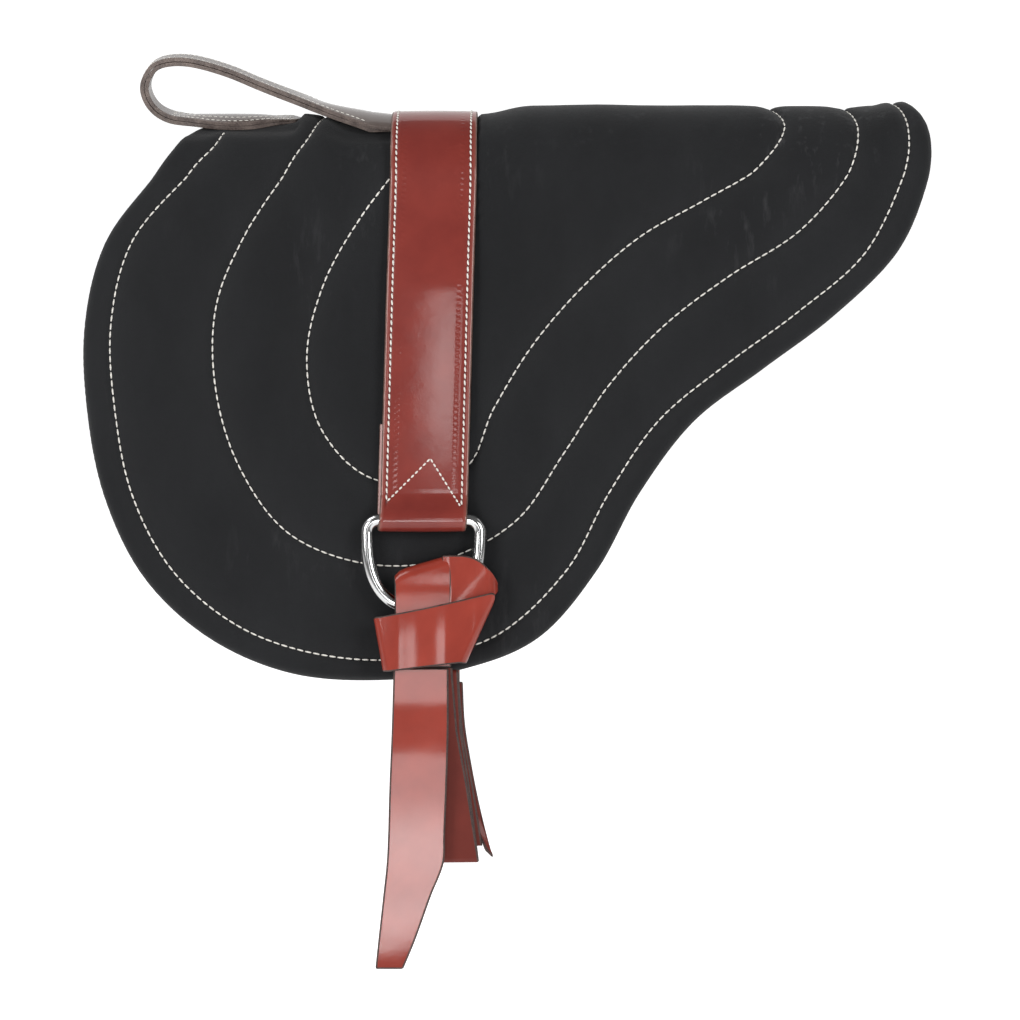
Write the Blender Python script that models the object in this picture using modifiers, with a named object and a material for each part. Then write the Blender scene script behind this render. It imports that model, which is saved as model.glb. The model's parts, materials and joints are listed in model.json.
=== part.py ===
"""Bareback pad: a quilted pad with surcingle, D rings, tied latigo, off billet and grab handle.

+X points to the horse's tail, -Y to its left side (the near side) and +Z up. The origin is on
the underside of the lining, on the spine, below the middle of the surcingle. A place on the pad
is given by x, by w, the distance from the spine measured along the underside, and by its height
above the underside.
"""

import math

import bmesh
import bpy
from mathutils import Vector

# Pad outline, measured along the underside
PAD_LENGTH = 0.667
FLAP_DROP = 0.461
SURCINGLE_PLACE = 0.273

# Back that the pad is draped over
RIDGE_RADIUS = 0.047
FLAP_SPLAY = math.radians(13.0)
REAR_RISE = 0.0062
RISE_RUN = 0.046

# Pad layers
LINING_THICKNESS = 0.0020
COVER_THICKNESS = 0.0018
CROWN_THICKNESS = 0.0185
RIM_THICKNESS = 0.0155
QUILT_THICKNESS = 0.0140
SHOULDER_THICKNESS = 0.0095
SHOULDER_WIDTH = 0.005
SHOULDER_MOST_SHARE = 0.35
RIM_SHARE = 0.6
CROWN_SHARES = (0.25, 0.75)
LOBE_SHARE = 0.5
FIT_GAP = 0.0003

# Surcingle and its free ends
STRAP_WIDTH = 0.068
STRAP_PLY = 0.0032
STRAP_SEAT = 0.0085
SEAT_SPREAD_FRONT = 0.036
SEAT_SPREAD_REAR = 0.010
SEAT_SLOPE = 0.5
SEWN_LENGTH = 0.156
STRAP_HANG = 0.181
STRAP_DRIFT = 0.007
TURN_BACK = 0.075
TURN_LEAD = 0.026

# D rings
RING_INNER_WIDTH = 0.0775
RING_WIRE = 0.010
RING_DROP = 0.0685
RING_SQUARENESS = 2.6
RING_PLAY = 0.0004

# Latigo, tied to the near ring
LATIGO_WIDTH = 0.0435
LATIGO_PLY = 0.0033
HITCH_TOP_LEFT = 0.0500
HITCH_TOP_RIGHT = 0.0365
WRAP_TOP = 0.0275
WRAP_BOTTOM = 0.0665
BAND_BOTTOM = 0.1140
BAND_TOP_LEFT = 0.0720
BAND_TOP_MIDDLE = 0.0600
BAND_TOP_RIGHT = 0.0690
BAND_BACK_TOP = 0.0760
BAND_LEFT = 0.033
BAND_RIGHT = 0.048
BAND_BOTTOM_RIGHT = 0.032
TAIL_LENGTH = 0.230
TAIL_TAPER = 0.080
TAIL_TIP_WIDTH = 0.021
TAIL_TAPER_SHARE = 0.45
TAIL_DRIFT = 0.011
TAIL_DRIFT_SHARES = (0.0, 0.25, 0.5, 1.0)
FOLD_LENGTH = 0.150
FOLD_DRIFT = 0.019
POINT_LENGTH = 0.130
POINT_DRIFT = 0.034
POINT_TAPER = 0.028
POINT_TIP_SHARE = 0.2
POINT_START = 0.011

# Off billet
BILLET_LENGTH = 0.230
BILLET_TURN_BACK = 0.085
BILLET_TIP = 0.030
BILLET_TIP_SHARE = 0.4
BILLET_HOLE = 0.006
BILLET_HOLE_PITCH = 0.022
BILLET_HOLES = 5
BILLET_FIRST_HOLE = 0.110
BILLET_SLACK = 0.0045
BILLET_PLAY = 0.0033

# Grab handle
HANDLE_PLY = 0.0033
HANDLE_REACH = 0.200
HANDLE_HEIGHT = 0.0565
HANDLE_WIDTH = 0.019
PADDLE_WIDTH = 0.060
PADDLE_SEAT = 0.012
PADDLE_RUN = 0.054
PADDLE_TUCK = 0.046
PADDLE_END_SHARE = 0.1
PADDLE_SPREAD = 0.012
COLUMN_MOST_SHARE = 0.95

# Mesh steps
RIDGE_STEPS = 4
FLAP_STEPS = 18
CURVE_STEPS = 24
BEND_STEPS = 8
CORNER_STEPS = 4
HANDLE_STEPS = 3
RING_POINTS = 36
WIRE_RESOLUTION = 2
HOLE_SIDES = 12
CUT_OVERRUN = 0.002
MERGE_DISTANCE = 0.00003
SHARP_ANGLE = math.radians(40.0)

# Outline and quilt lines, as shares of PAD_LENGTH from the front and of FLAP_DROP from the spine
EDGE_SHARES = [
    (0.143, 0.0), (0.081, 0.126), (0.022, 0.249), (-0.002, 0.396), (0.002, 0.547), (0.024, 0.694),
    (0.071, 0.828), (0.147, 0.929), (0.242, 0.988), (0.347, 1.000), (0.448, 0.980), (0.534, 0.927),
    (0.601, 0.815), (0.652, 0.682), (0.716, 0.560), (0.798, 0.470), (0.881, 0.380), (0.955, 0.274),
    (0.991, 0.160), (0.999, 0.070), (0.985, 0.0),
]
OUTER_LINE_SHARES = [
    (0.171, 0.0), (0.154, 0.080), (0.122, 0.130), (0.056, 0.248), (0.031, 0.392), (0.036, 0.541),
    (0.058, 0.690), (0.108, 0.820), (0.189, 0.914), (0.288, 0.959), (0.390, 0.962), (0.486, 0.922),
    (0.565, 0.815), (0.615, 0.684), (0.674, 0.560), (0.754, 0.464), (0.837, 0.376), (0.916, 0.276),
    (0.962, 0.145), (0.971, 0.070), (0.959, 0.0),
]
MIDDLE_LINE_SHARES = [
    (0.278, 0.0), (0.262, 0.070), (0.239, 0.120), (0.188, 0.238), (0.154, 0.367), (0.154, 0.505),
    (0.182, 0.638), (0.239, 0.750), (0.327, 0.802), (0.420, 0.797), (0.506, 0.731), (0.562, 0.617),
    (0.615, 0.501), (0.680, 0.399), (0.756, 0.315), (0.838, 0.239), (0.895, 0.145), (0.912, 0.073),
    (0.901, 0.0),
]
INNER_LINE_SHARES = [
    (0.425, 0.0), (0.376, 0.102), (0.322, 0.212), (0.281, 0.325), (0.261, 0.451), (0.279, 0.577),
    (0.343, 0.661), (0.443, 0.645), (0.481, 0.538), (0.527, 0.430), (0.585, 0.332), (0.652, 0.247),
    (0.728, 0.184), (0.793, 0.128), (0.825, 0.068), (0.811, 0.0),
]
HEART_SHARES = [(0.530, 0.0), (0.500, 0.200), (0.400, 0.450)]

# Handle's middle line, as shares of HANDLE_REACH ahead of the surcingle and of HANDLE_HEIGHT
# over the paddle's seat, with the share by which it has widened to its paddles' width
HANDLE_SHARES = [
    (0.084, -0.047, 1.0), (0.257, 0.104, 0.55), (0.390, 0.250, 0.15), (0.522, 0.422, 0.0),
    (0.657, 0.624, 0.0), (0.790, 0.776, 0.0), (0.888, 0.826, 0.0), (0.956, 0.753, 0.0),
    (0.990, 0.509, 0.0), (0.980, 0.291, 0.0), (0.944, 0.127, 0.0), (0.896, 0.035, 0.10),
    (0.840, 0.000, 0.35), (0.770, 0.000, 0.70), (0.710, 0.000, 0.90), (0.630, 0.000, 1.0),
]

# Values worked out from the sizes above
RIDGE_TURN = math.pi / 2 - FLAP_SPLAY
RIDGE_REACH = RIDGE_RADIUS * RIDGE_TURN
RIDGE_STEP = RIDGE_REACH / RIDGE_STEPS
EDGE_THICKNESS = LINING_THICKNESS + FIT_GAP + COVER_THICKNESS
CORE_BOTTOM = LINING_THICKNESS + FIT_GAP
COVER_DEPTH = COVER_THICKNESS + FIT_GAP
HALF_STRAP = STRAP_WIDTH / 2
STRAP_FLOOR_TOP = STRAP_SEAT + FIT_GAP + HANDLE_PLY + FIT_GAP
STRAP_FLOOR = CROWN_THICKNESS + FIT_GAP
STRAP_FACE = STRAP_FLOOR + STRAP_PLY + FIT_GAP + STRAP_PLY
WIRE_RADIUS = RING_WIRE / 2
BAR_HEIGHT = STRAP_FLOOR + STRAP_PLY + RING_PLAY + WIRE_RADIUS
BAR_OFFSET = BAR_HEIGHT - STRAP_FACE
STRAP_BEND = WIRE_RADIUS + RING_PLAY + STRAP_PLY / 2
LATIGO_BEND = WIRE_RADIUS + RING_PLAY + LATIGO_PLY / 2
LATIGO_STEP = LATIGO_PLY + FIT_GAP
RING_HALF = RING_INNER_WIDTH / 2 + WIRE_RADIUS
RING_CORNER = RING_HALF - HALF_STRAP - FIT_GAP
HALF_LATIGO = LATIGO_WIDTH / 2
STRAP_LEAN = STRAP_DRIFT / (SEWN_LENGTH + STRAP_HANG - RIDGE_REACH)
TAIL_FACE = LATIGO_BEND + LATIGO_PLY / 2
BILLET_FRONT = LATIGO_STEP - LATIGO_BEND

NEAR = -1
OFF = 1


def clear_scene():
    """Remove whatever the file holds already."""
    for old in list(bpy.data.objects):
        bpy.data.objects.remove(old, do_unlink=True)


def new_collection(name):
    group = bpy.data.collections.new(name)
    bpy.context.scene.collection.children.link(group)
    return group


def new_material(name, colour, roughness, metallic=0.0):
    finish = bpy.data.materials.new(name)
    finish.use_nodes = True
    shader = finish.node_tree.nodes["Principled BSDF"]
    shader.inputs["Base Color"].default_value = (*colour, 1.0)
    shader.inputs["Roughness"].default_value = roughness
    shader.inputs["Metallic"].default_value = metallic
    return finish


def new_pivot(name, parent, location, tilt=0.0):
    """An empty that stands on a joint's axis and carries the pieces that turn with it."""
    pivot = bpy.data.objects.new(name, None)
    PARTS.objects.link(pivot)
    pivot.parent = parent
    pivot.location = location
    pivot.rotation_euler = (tilt, 0.0, 0.0)
    return pivot


def add_piece(name, data, finish, parent=None):
    piece = bpy.data.objects.new(name, data)
    PARTS.objects.link(piece)
    piece.parent = parent
    data.materials.append(finish)
    return piece


def lerp(start, end, share):
    return start + (end - start) * share


def smooth(share):
    share = min(max(share, 0.0), 1.0)
    return share * share * (3.0 - 2.0 * share)


def smooth_line(points, steps):
    """Points along a Catmull-Rom curve that runs through the given ones."""
    padded = [points[0] * 2 - points[1], *points, points[-1] * 2 - points[-2]]
    line = []
    for a, b, c, d in zip(padded, padded[1:], padded[2:], padded[3:]):
        for step in range(steps):
            t = step / steps
            line.append(
                0.5 * (b * 2 + (c - a) * t + (a * 2 - b * 5 + c * 4 - d) * t * t
                       + (b * 3 - a - c * 3 + d) * t * t * t)
            )
    line.append(points[-1].copy())
    return line


def even_points(line, count):
    """The line's points at count equal steps of its length, both ends included."""
    lengths = [0.0]
    for start, end in zip(line, line[1:]):
        lengths.append(lengths[-1] + (end - start).length)
    picked = []
    spot = 0
    for step in range(count + 1):
        wanted = lengths[-1] * step / count
        while spot < len(line) - 2 and lengths[spot + 1] < wanted:
            spot += 1
        span = lengths[spot + 1] - lengths[spot]
        picked.append(line[spot].lerp(line[spot + 1], (wanted - lengths[spot]) / span))
    return picked


def bent_sheet(shape, along, across, place):
    """Add a grid to the bmesh and put its points where place(i, j) says."""
    made = bmesh.ops.create_grid(shape, x_segments=along, y_segments=across, size=1.0)
    for vert in made["verts"]:
        i = round((vert.co.x + 1.0) / 2.0 * along)
        j = round((vert.co.y + 1.0) / 2.0 * across)
        vert.co = place(i, j)
    return made["verts"]


def finish_mesh(name, shape):
    mesh = bpy.data.meshes.new(name)
    shape.to_mesh(mesh)
    shape.free()
    mesh.shade_smooth()
    mesh.set_sharp_from_angle(angle=SHARP_ANGLE)
    return mesh


def strip_mesh(name, along, across, place, closed=False):
    """A leather ply's middle surface, which a Solidify modifier then thickens."""
    shape = bmesh.new()
    bent_sheet(shape, along, across, place)
    if closed:
        bmesh.ops.remove_doubles(shape, verts=shape.verts, dist=MERGE_DISTANCE)
    return finish_mesh(name, shape)


def add_ply(name, mesh, thickness, finish, parent=None):
    ply = add_piece(name, mesh, finish, parent)
    solid = ply.modifiers.new("Thickness", "SOLIDIFY")
    solid.thickness = thickness
    solid.offset = 0.0
    solid.use_even_offset = True
    return ply


def arc_points(centre, radius, start, end, steps=BEND_STEPS):
    """Points of an arc in a plane, both ends included."""
    points = []
    for step in range(steps + 1):
        turn = lerp(start, end, step / steps)
        points.append(centre + Vector((math.cos(turn), math.sin(turn))) * radius)
    return points


# The draped pad

def crest_rise(x, w):
    """How far the pad lies above the level that its crest has under the surcingle."""
    front_share = 1.0 - smooth((x - HALF_STRAP) / RISE_RUN)
    return REAR_RISE * (1.0 - front_share * max(0.0, 1.0 - w / SEWN_LENGTH))


def section_point(w, height):
    """Outward distance and level of a place on the cross-section, before the crest's rise."""
    turn = min(w / RIDGE_RADIUS, RIDGE_TURN)
    down = max(w - RIDGE_REACH, 0.0)
    out = (RIDGE_RADIUS + height) * math.sin(turn) + down * math.sin(FLAP_SPLAY)
    level = (RIDGE_RADIUS + height) * math.cos(turn) - RIDGE_RADIUS - down * math.cos(FLAP_SPLAY)
    return out, level


def sewn_share(w):
    """How far down the surcingle's straight stretch a place lies, from 0 to 1."""
    return min(max((w - RIDGE_REACH) / (SEWN_LENGTH - RIDGE_REACH), 0.0), 1.0)


def pad_point(x, w, height, side=NEAR):
    out, level = section_point(w, height)
    return Vector((x, side * out, level + crest_rise(x, w)))


def flat_line(shares):
    """A smooth line on the pad as x and w."""
    corners = [Vector((x * PAD_LENGTH - SURCINGLE_PLACE, w * FLAP_DROP)) for x, w in shares]
    return smooth_line(corners, CURVE_STEPS)


def pad_line(shares):
    """A line on the pad, cut into the same steps as every other such line."""
    line = flat_line(shares)
    first = next(k for k, point in enumerate(line) if point.y >= RIDGE_REACH)
    last = max(k for k, point in enumerate(line) if point.y >= RIDGE_REACH)
    levels = [step * RIDGE_STEP for step in range(RIDGE_STEPS)]
    front_ridge = [at_level(line[:first + 1], level) for level in levels]
    rear_ridge = [at_level(line[last:], level) for level in reversed(levels)]
    flap_start = at_level(line[:first + 1], RIDGE_REACH)
    flap_end = at_level(line[last:], RIDGE_REACH)
    flap = even_points([flap_start, *line[first:last + 1], flap_end], FLAP_STEPS)
    return front_ridge + flap + rear_ridge


def at_level(line, level):
    """The place where a line on the pad crosses a distance w from the spine."""
    for start, end in zip(line, line[1:]):
        low, high = min(start.y, end.y), max(start.y, end.y)
        if low <= level <= high and high > low:
            return start.lerp(end, (level - start.y) / (end.y - start.y))
    return min(line, key=lambda point: abs(point.y - level)).copy()


def heart_line():
    """The crease-free line that the innermost lobe closes on, out and back."""
    line = flat_line(HEART_SHARES)
    first = next(k for k, point in enumerate(line) if point.y >= RIDGE_REACH)
    ridge = [at_level(line[:first + 1], step * RIDGE_STEP) for step in range(RIDGE_STEPS)]
    flap_start = at_level(line[:first + 1], RIDGE_REACH)
    flap = even_points([flap_start, *line[first:]], FLAP_STEPS // 2)
    outward = ridge + flap
    return outward + outward[-2::-1]


def between(line_a, line_b, share):
    return [a.lerp(b, share) for a, b in zip(line_a, line_b)]


def inset(line_a, line_b, distance, most_share):
    return [a.lerp(b, min(distance / (b - a).length, most_share)) for a, b in zip(line_a, line_b)]


def pad_rows():
    """The pad's rows from the edge inwards, each with its full thickness."""
    edge = pad_line(EDGE_SHARES)
    outer = pad_line(OUTER_LINE_SHARES)
    middle = pad_line(MIDDLE_LINE_SHARES)
    inner = pad_line(INNER_LINE_SHARES)
    heart = heart_line()
    return [
        (edge, EDGE_THICKNESS),
        (inset(edge, outer, SHOULDER_WIDTH, SHOULDER_MOST_SHARE), SHOULDER_THICKNESS),
        (between(edge, outer, RIM_SHARE), RIM_THICKNESS),
        (outer, QUILT_THICKNESS),
        *[(between(outer, middle, share), CROWN_THICKNESS) for share in CROWN_SHARES],
        (middle, QUILT_THICKNESS),
        *[(between(middle, inner, share), CROWN_THICKNESS) for share in CROWN_SHARES],
        (inner, QUILT_THICKNESS),
        (between(inner, heart, LOBE_SHARE), CROWN_THICKNESS),
        (heart, CROWN_THICKNESS),
    ]


def pressed_thickness(x, w, thickness):
    """The pad's thickness where the surcingle and the handle's front paddle press it down."""
    rear_spread = lerp(SEAT_SPREAD_REAR, SEAT_SPREAD_FRONT, min(w / RIDGE_REACH, 1.0))
    outside = max(-x - HALF_STRAP - SEAT_SPREAD_FRONT, x - HALF_STRAP - rear_spread, 0.0)
    under_strap = lerp(STRAP_SEAT, CROWN_THICKNESS, sewn_share(w)) + outside * SEAT_SLOPE
    paddle_rear = -HALF_STRAP - HANDLE_REACH * HANDLE_SHARES[-1][0] + PADDLE_RUN + PADDLE_SPREAD
    beyond = max(x - paddle_rear, w - RIDGE_STEP * 2, 0.0)
    under_paddle = PADDLE_SEAT + beyond * SEAT_SLOPE
    return min(thickness, under_strap, under_paddle)


def add_pad_layer(name, rows, low, high, finish):
    """One layer of the pad: half of it between two height rules, mirrored at the spine."""
    shape = bmesh.new()
    along = len(rows[0][0]) - 1
    across = len(rows) - 1

    def place(rule):
        def at(i, j):
            spot = rows[j][0][i]
            thickness = pressed_thickness(spot.x, spot.y, rows[j][1])
            return pad_point(spot.x, spot.y, rule(thickness))
        return at

    lower = bent_sheet(shape, along, across, place(low))
    bent_sheet(shape, along, across, place(high))
    edge_low = [place(low)(i, 0) for i in range(along + 1)]
    edge_high = [place(high)(i, 0) for i in range(along + 1)]
    bent_sheet(shape, along, 1, lambda i, j: (edge_low, edge_high)[j][i])
    bmesh.ops.reverse_faces(shape, faces=list({face for vert in lower for face in vert.link_faces}))
    bmesh.ops.remove_doubles(shape, verts=shape.verts, dist=MERGE_DISTANCE)
    bmesh.ops.triangulate(shape, faces=shape.faces, quad_method="FIXED")
    layer = add_piece(name, finish_mesh(name, shape), finish)
    mirror = layer.modifiers.new("Off half", "MIRROR")
    mirror.use_axis = (False, True, False)
    mirror.merge_threshold = MERGE_DISTANCE
    return layer


def add_pad(nubuck, felt, lining_felt):
    rows = pad_rows()
    add_pad_layer("nubuck_cover", rows,
                  lambda thickness: thickness - COVER_THICKNESS, lambda thickness: thickness, nubuck)
    add_pad_layer("felt_core", rows[1:],
                  lambda thickness: CORE_BOTTOM, lambda thickness: thickness - COVER_DEPTH, felt)
    add_pad_layer("felt_lining", rows,
                  lambda thickness: 0.0, lambda thickness: LINING_THICKNESS, lining_felt)


# The surcingle and its free ends

def strap_middle(w):
    """The surcingle leans forward a little as it goes down the flaps."""
    return -STRAP_LEAN * max(w - RIDGE_REACH, 0.0)


def surcingle_stations():
    """Distances from the spine, negative on the near side, where the sewn stretch bends."""
    ridge = [step * RIDGE_STEP for step in range(RIDGE_STEPS + 1)]
    half = [*ridge, SEWN_LENGTH - FIT_GAP / 2]
    return [-w for w in reversed(half[1:])] + half


def add_surcingle(leather):
    stations = surcingle_stations()

    def ply_place(lift):
        def at(i, j):
            w = abs(stations[i])
            side = NEAR if stations[i] < 0 else OFF
            x = strap_middle(w) + (j - 0.5) * STRAP_WIDTH
            floor = lerp(STRAP_FLOOR_TOP, STRAP_FLOOR, sewn_share(w))
            point = pad_point(0.0, w, floor + lift, side)
            return Vector((x, point.y, point.z))
        return at

    steps = len(stations) - 1
    backing = strip_mesh("surcingle_backing_ply", steps, 1, ply_place(STRAP_PLY / 2))
    add_ply("surcingle_backing_ply", backing, STRAP_PLY, leather)
    lift = STRAP_PLY * 1.5 + FIT_GAP
    outer = strip_mesh("surcingle_outer_ply", steps, 1, ply_place(lift))
    add_ply("surcingle_outer_ply", outer, STRAP_PLY, leather)


def strap_pivot(name, side):
    """The line, on the strap's face, about which its free end lifts away from the pad."""
    place = pad_point(strap_middle(SEWN_LENGTH), SEWN_LENGTH, STRAP_FACE, side)
    return new_pivot(name, None, place, side * FLAP_SPLAY)


def hanging_strip(name, line, width, thickness, finish, parent, side, middle=lambda drop: 0.0):
    """A ply that hangs from a pivot. The line holds drops below it and heights out from it."""

    def at(i, j):
        drop, out = line[i]
        return Vector((middle(drop) + (j - 0.5) * width, side * out, -drop))

    mesh = strip_mesh(name, len(line) - 1, 1, at)
    return add_ply(name, mesh, thickness, finish, parent)


def strap_drift(drop):
    return -STRAP_LEAN * drop


def add_strap_end(prefix, side, leather, pivot):
    """The free end: an outer ply that turns back round the ring's bar, and a backing ply."""
    outer_level = -STRAP_PLY / 2
    backing_level = outer_level - STRAP_PLY - FIT_GAP
    top = FIT_GAP / 2
    line = [Vector((top, outer_level)), Vector((STRAP_HANG - TURN_LEAD, outer_level))]
    for step in range(1, BEND_STEPS):
        share = step / BEND_STEPS
        drop = STRAP_HANG - TURN_LEAD * (1.0 - share)
        line.append(Vector((drop, lerp(outer_level, BAR_OFFSET + STRAP_BEND, smooth(share)))))
    bar = Vector((STRAP_HANG, BAR_OFFSET))
    line += arc_points(bar, STRAP_BEND, math.pi / 2, -math.pi / 2)
    line.append(Vector((STRAP_HANG - TURN_BACK, backing_level)))
    hanging_strip(prefix + "_strap_outer_ply", line, STRAP_WIDTH, STRAP_PLY, leather, pivot, side,
                  strap_drift)
    backing = [
        Vector((top, backing_level)),
        Vector((STRAP_HANG - TURN_BACK - FIT_GAP, backing_level)),
    ]
    hanging_strip(prefix + "_strap_backing_ply", backing, STRAP_WIDTH, STRAP_PLY, leather, pivot,
                  side, strap_drift)


# The D rings

def ring_outline():
    """The wire's middle line: a bar, two corners and a squarish bow, from the bar's middle."""
    points = []
    corner = Vector((RING_HALF - RING_CORNER, -RING_CORNER))
    for point in arc_points(corner, RING_CORNER, math.pi / 2, 0.0, CORNER_STEPS):
        points.append(point)
    bow_depth = RING_DROP - RING_CORNER
    bow_steps = RING_POINTS // 2
    for step in range(1, bow_steps):
        turn = math.pi * step / bow_steps
        across = math.copysign(abs(math.cos(turn)) ** (2.0 / RING_SQUARENESS), math.cos(turn))
        down = math.sin(turn) ** (2.0 / RING_SQUARENESS)
        points.append(Vector((RING_HALF * across, -RING_CORNER - bow_depth * down)))
    far_corner = Vector((-corner.x, corner.y))
    for point in arc_points(far_corner, RING_CORNER, math.pi, math.pi / 2, CORNER_STEPS):
        points.append(point)
    return points


def add_ring(name, steel, pivot):
    wire = bpy.data.curves.new(name, "CURVE")
    wire.dimensions = "3D"
    wire.bevel_depth = WIRE_RADIUS
    wire.bevel_resolution = WIRE_RESOLUTION
    outline = ring_outline()
    spline = wire.splines.new("POLY")
    spline.points.add(len(outline) - 1)
    for spot, point in zip(spline.points, outline):
        spot.co = (point.x, 0.0, point.y, 1.0)
    spline.use_cyclic_u = True
    return add_piece(name, wire, steel, pivot)


# The tied latigo

def add_hitch(latigo, pivot):
    """The ply that goes up in front of the bow, over a slanting fold and down behind it."""
    tops = (HITCH_TOP_LEFT, HITCH_TOP_RIGHT)
    bottoms = (BAND_BOTTOM - FIT_GAP / 2, RING_DROP + WIRE_RADIUS)

    def at(i, j):
        fold = arc_points(Vector((tops[j], 0.0)), LATIGO_BEND, math.pi / 2, math.pi * 1.5)
        line = [Vector((bottoms[0], LATIGO_BEND)), *fold, Vector((bottoms[1], -LATIGO_BEND))]
        return Vector(((j - 0.5) * LATIGO_WIDTH, NEAR * line[i].y, -line[i].x))

    mesh = strip_mesh("near_latigo_hitch", BEND_STEPS + 2, 1, at)
    add_ply("near_latigo_hitch", mesh, LATIGO_PLY, latigo, pivot)


def add_cross_wrap(latigo, pivot):
    """The turn that runs round the ring's rear side, open towards the hitch."""
    inner_x = HALF_LATIGO + FIT_GAP
    bend = arc_points(Vector((RING_HALF, 0.0)), LATIGO_BEND, math.pi / 2, -math.pi / 2)
    line = [Vector((inner_x, LATIGO_BEND)), *bend, Vector((inner_x, -LATIGO_BEND))]

    def at(i, j):
        return Vector((line[i].x, NEAR * line[i].y, -(WRAP_TOP, WRAP_BOTTOM)[j]))

    mesh = strip_mesh("near_latigo_cross_wrap", BEND_STEPS + 2, 1, at)
    add_ply("near_latigo_cross_wrap", mesh, LATIGO_PLY, latigo, pivot)


def add_band(latigo, pivot):
    """The turn that lies across the front, over the hitch and back between its plies."""
    front = LATIGO_BEND + LATIGO_STEP
    back = LATIGO_BEND - LATIGO_STEP
    bend = (front - back) / 2
    mid = (front + back) / 2
    half_pi = math.pi / 2

    def loop(left, right, tops):
        """Corners run along the front to the right, then back behind the hitch's ply."""
        points = [(x, front, top) for x, top in zip((-left, HALF_LATIGO, right), tops)]
        for point in arc_points(Vector((right, mid)), bend, half_pi, -half_pi, CORNER_STEPS)[1:]:
            points.append((point.x, point.y, tops[2]))
        points[-1] = (right, back, tops[3])
        points.append((-left, back, tops[3]))
        turn = arc_points(Vector((-left, mid)), bend, -half_pi, -half_pi * 3, CORNER_STEPS)
        points += [(point.x, point.y, tops[0]) for point in turn[1:-1]]
        points.append(points[0])
        return points

    tops = (BAND_TOP_LEFT, BAND_TOP_MIDDLE, BAND_TOP_RIGHT, BAND_BACK_TOP)
    upper = loop(BAND_LEFT, BAND_RIGHT, tops)
    lower = loop(BAND_LEFT, BAND_BOTTOM_RIGHT, (BAND_BOTTOM,) * 4)

    def at(i, j):
        x, out, drop = (upper, lower)[j][i]
        return Vector((x, NEAR * out, -drop))

    mesh = strip_mesh("near_latigo_band", len(upper) - 1, 1, at, closed=True)
    add_ply("near_latigo_band", mesh, LATIGO_PLY, latigo, pivot)


def add_folds(latigo, pivot):
    """The spare length, folded down, up and down again behind the tail."""
    runs = [-(LATIGO_PLY / 2 + LATIGO_STEP * run) for run in (1, 2, 3)]
    bend = LATIGO_STEP / 2
    top = FIT_GAP / 2 + LATIGO_PLY
    line = [Vector((FIT_GAP, runs[0]))]
    bottom = Vector((FOLD_LENGTH - bend - LATIGO_PLY / 2, (runs[0] + runs[1]) / 2))
    line += arc_points(bottom, bend, math.pi / 2, -math.pi / 2, CORNER_STEPS)
    upper = Vector((top + bend, (runs[1] + runs[2]) / 2))
    line += arc_points(upper, bend, math.pi / 2, math.pi * 1.5, CORNER_STEPS)
    line.append(Vector((FOLD_LENGTH - POINT_START, runs[2])))
    hanging_strip("near_latigo_folds", line, LATIGO_WIDTH, LATIGO_PLY, latigo, pivot, NEAR,
                  lambda drop: FOLD_DRIFT * drop / FOLD_LENGTH)

    def at(i, j):
        drop = POINT_START + (0.0, POINT_LENGTH - POINT_TAPER, POINT_LENGTH)[i]
        width = LATIGO_WIDTH * (1.0, 1.0, POINT_TIP_SHARE)[i]
        x = POINT_DRIFT * drop / POINT_LENGTH + (j - 0.5) * width
        return Vector((x, NEAR * (runs[2] - LATIGO_STEP), -drop))

    point = strip_mesh("near_latigo_point", 2, 1, at)
    add_ply("near_latigo_point", point, LATIGO_PLY, latigo, pivot)


def add_tail(latigo, pivot):
    """The long free end in front, which narrows to a blunt tip."""
    stations = (FIT_GAP / 2, TAIL_LENGTH - TAIL_TAPER, TAIL_LENGTH - TAIL_TAPER / 2, TAIL_LENGTH)
    taper_width = lerp(LATIGO_WIDTH, TAIL_TIP_WIDTH, TAIL_TAPER_SHARE)
    widths = (LATIGO_WIDTH, LATIGO_WIDTH, taper_width, TAIL_TIP_WIDTH)

    def at(i, j):
        left = -HALF_LATIGO - TAIL_DRIFT * TAIL_DRIFT_SHARES[i]
        return Vector((left + widths[i] * j, -NEAR * LATIGO_PLY / 2, -stations[i]))

    mesh = strip_mesh("near_latigo_tail", 3, 1, at)
    add_ply("near_latigo_tail", mesh, LATIGO_PLY, latigo, pivot)


def add_billet_loop(latigo, ring_pivot):
    """The off billet's stiff part: folded over the bow, with its short ply behind."""
    back = -LATIGO_BEND
    bend = LATIGO_BEND + BILLET_PLAY / 2
    face = LATIGO_BEND + BILLET_PLAY
    end = BILLET_TURN_BACK - FIT_GAP / 2
    fold = Vector((-BILLET_SLACK, BILLET_PLAY / 2))
    line = [Vector((end, back)), *arc_points(fold, bend, -math.pi / 2, -math.pi * 1.5)]
    lead_end = TURN_LEAD + WIRE_RADIUS
    for step in range(1, BEND_STEPS + 1):
        share = step / BEND_STEPS
        drop = lerp(WIRE_RADIUS, lead_end, share)
        line.append(Vector((drop, lerp(face, BILLET_FRONT, smooth(share)))))
    line.append(Vector((end, BILLET_FRONT)))
    bow = Vector((RING_DROP, 0.0))
    hanging_strip("off_billet_loop", [bow + point for point in line], LATIGO_WIDTH, LATIGO_PLY,
                  latigo, ring_pivot, OFF)


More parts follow.
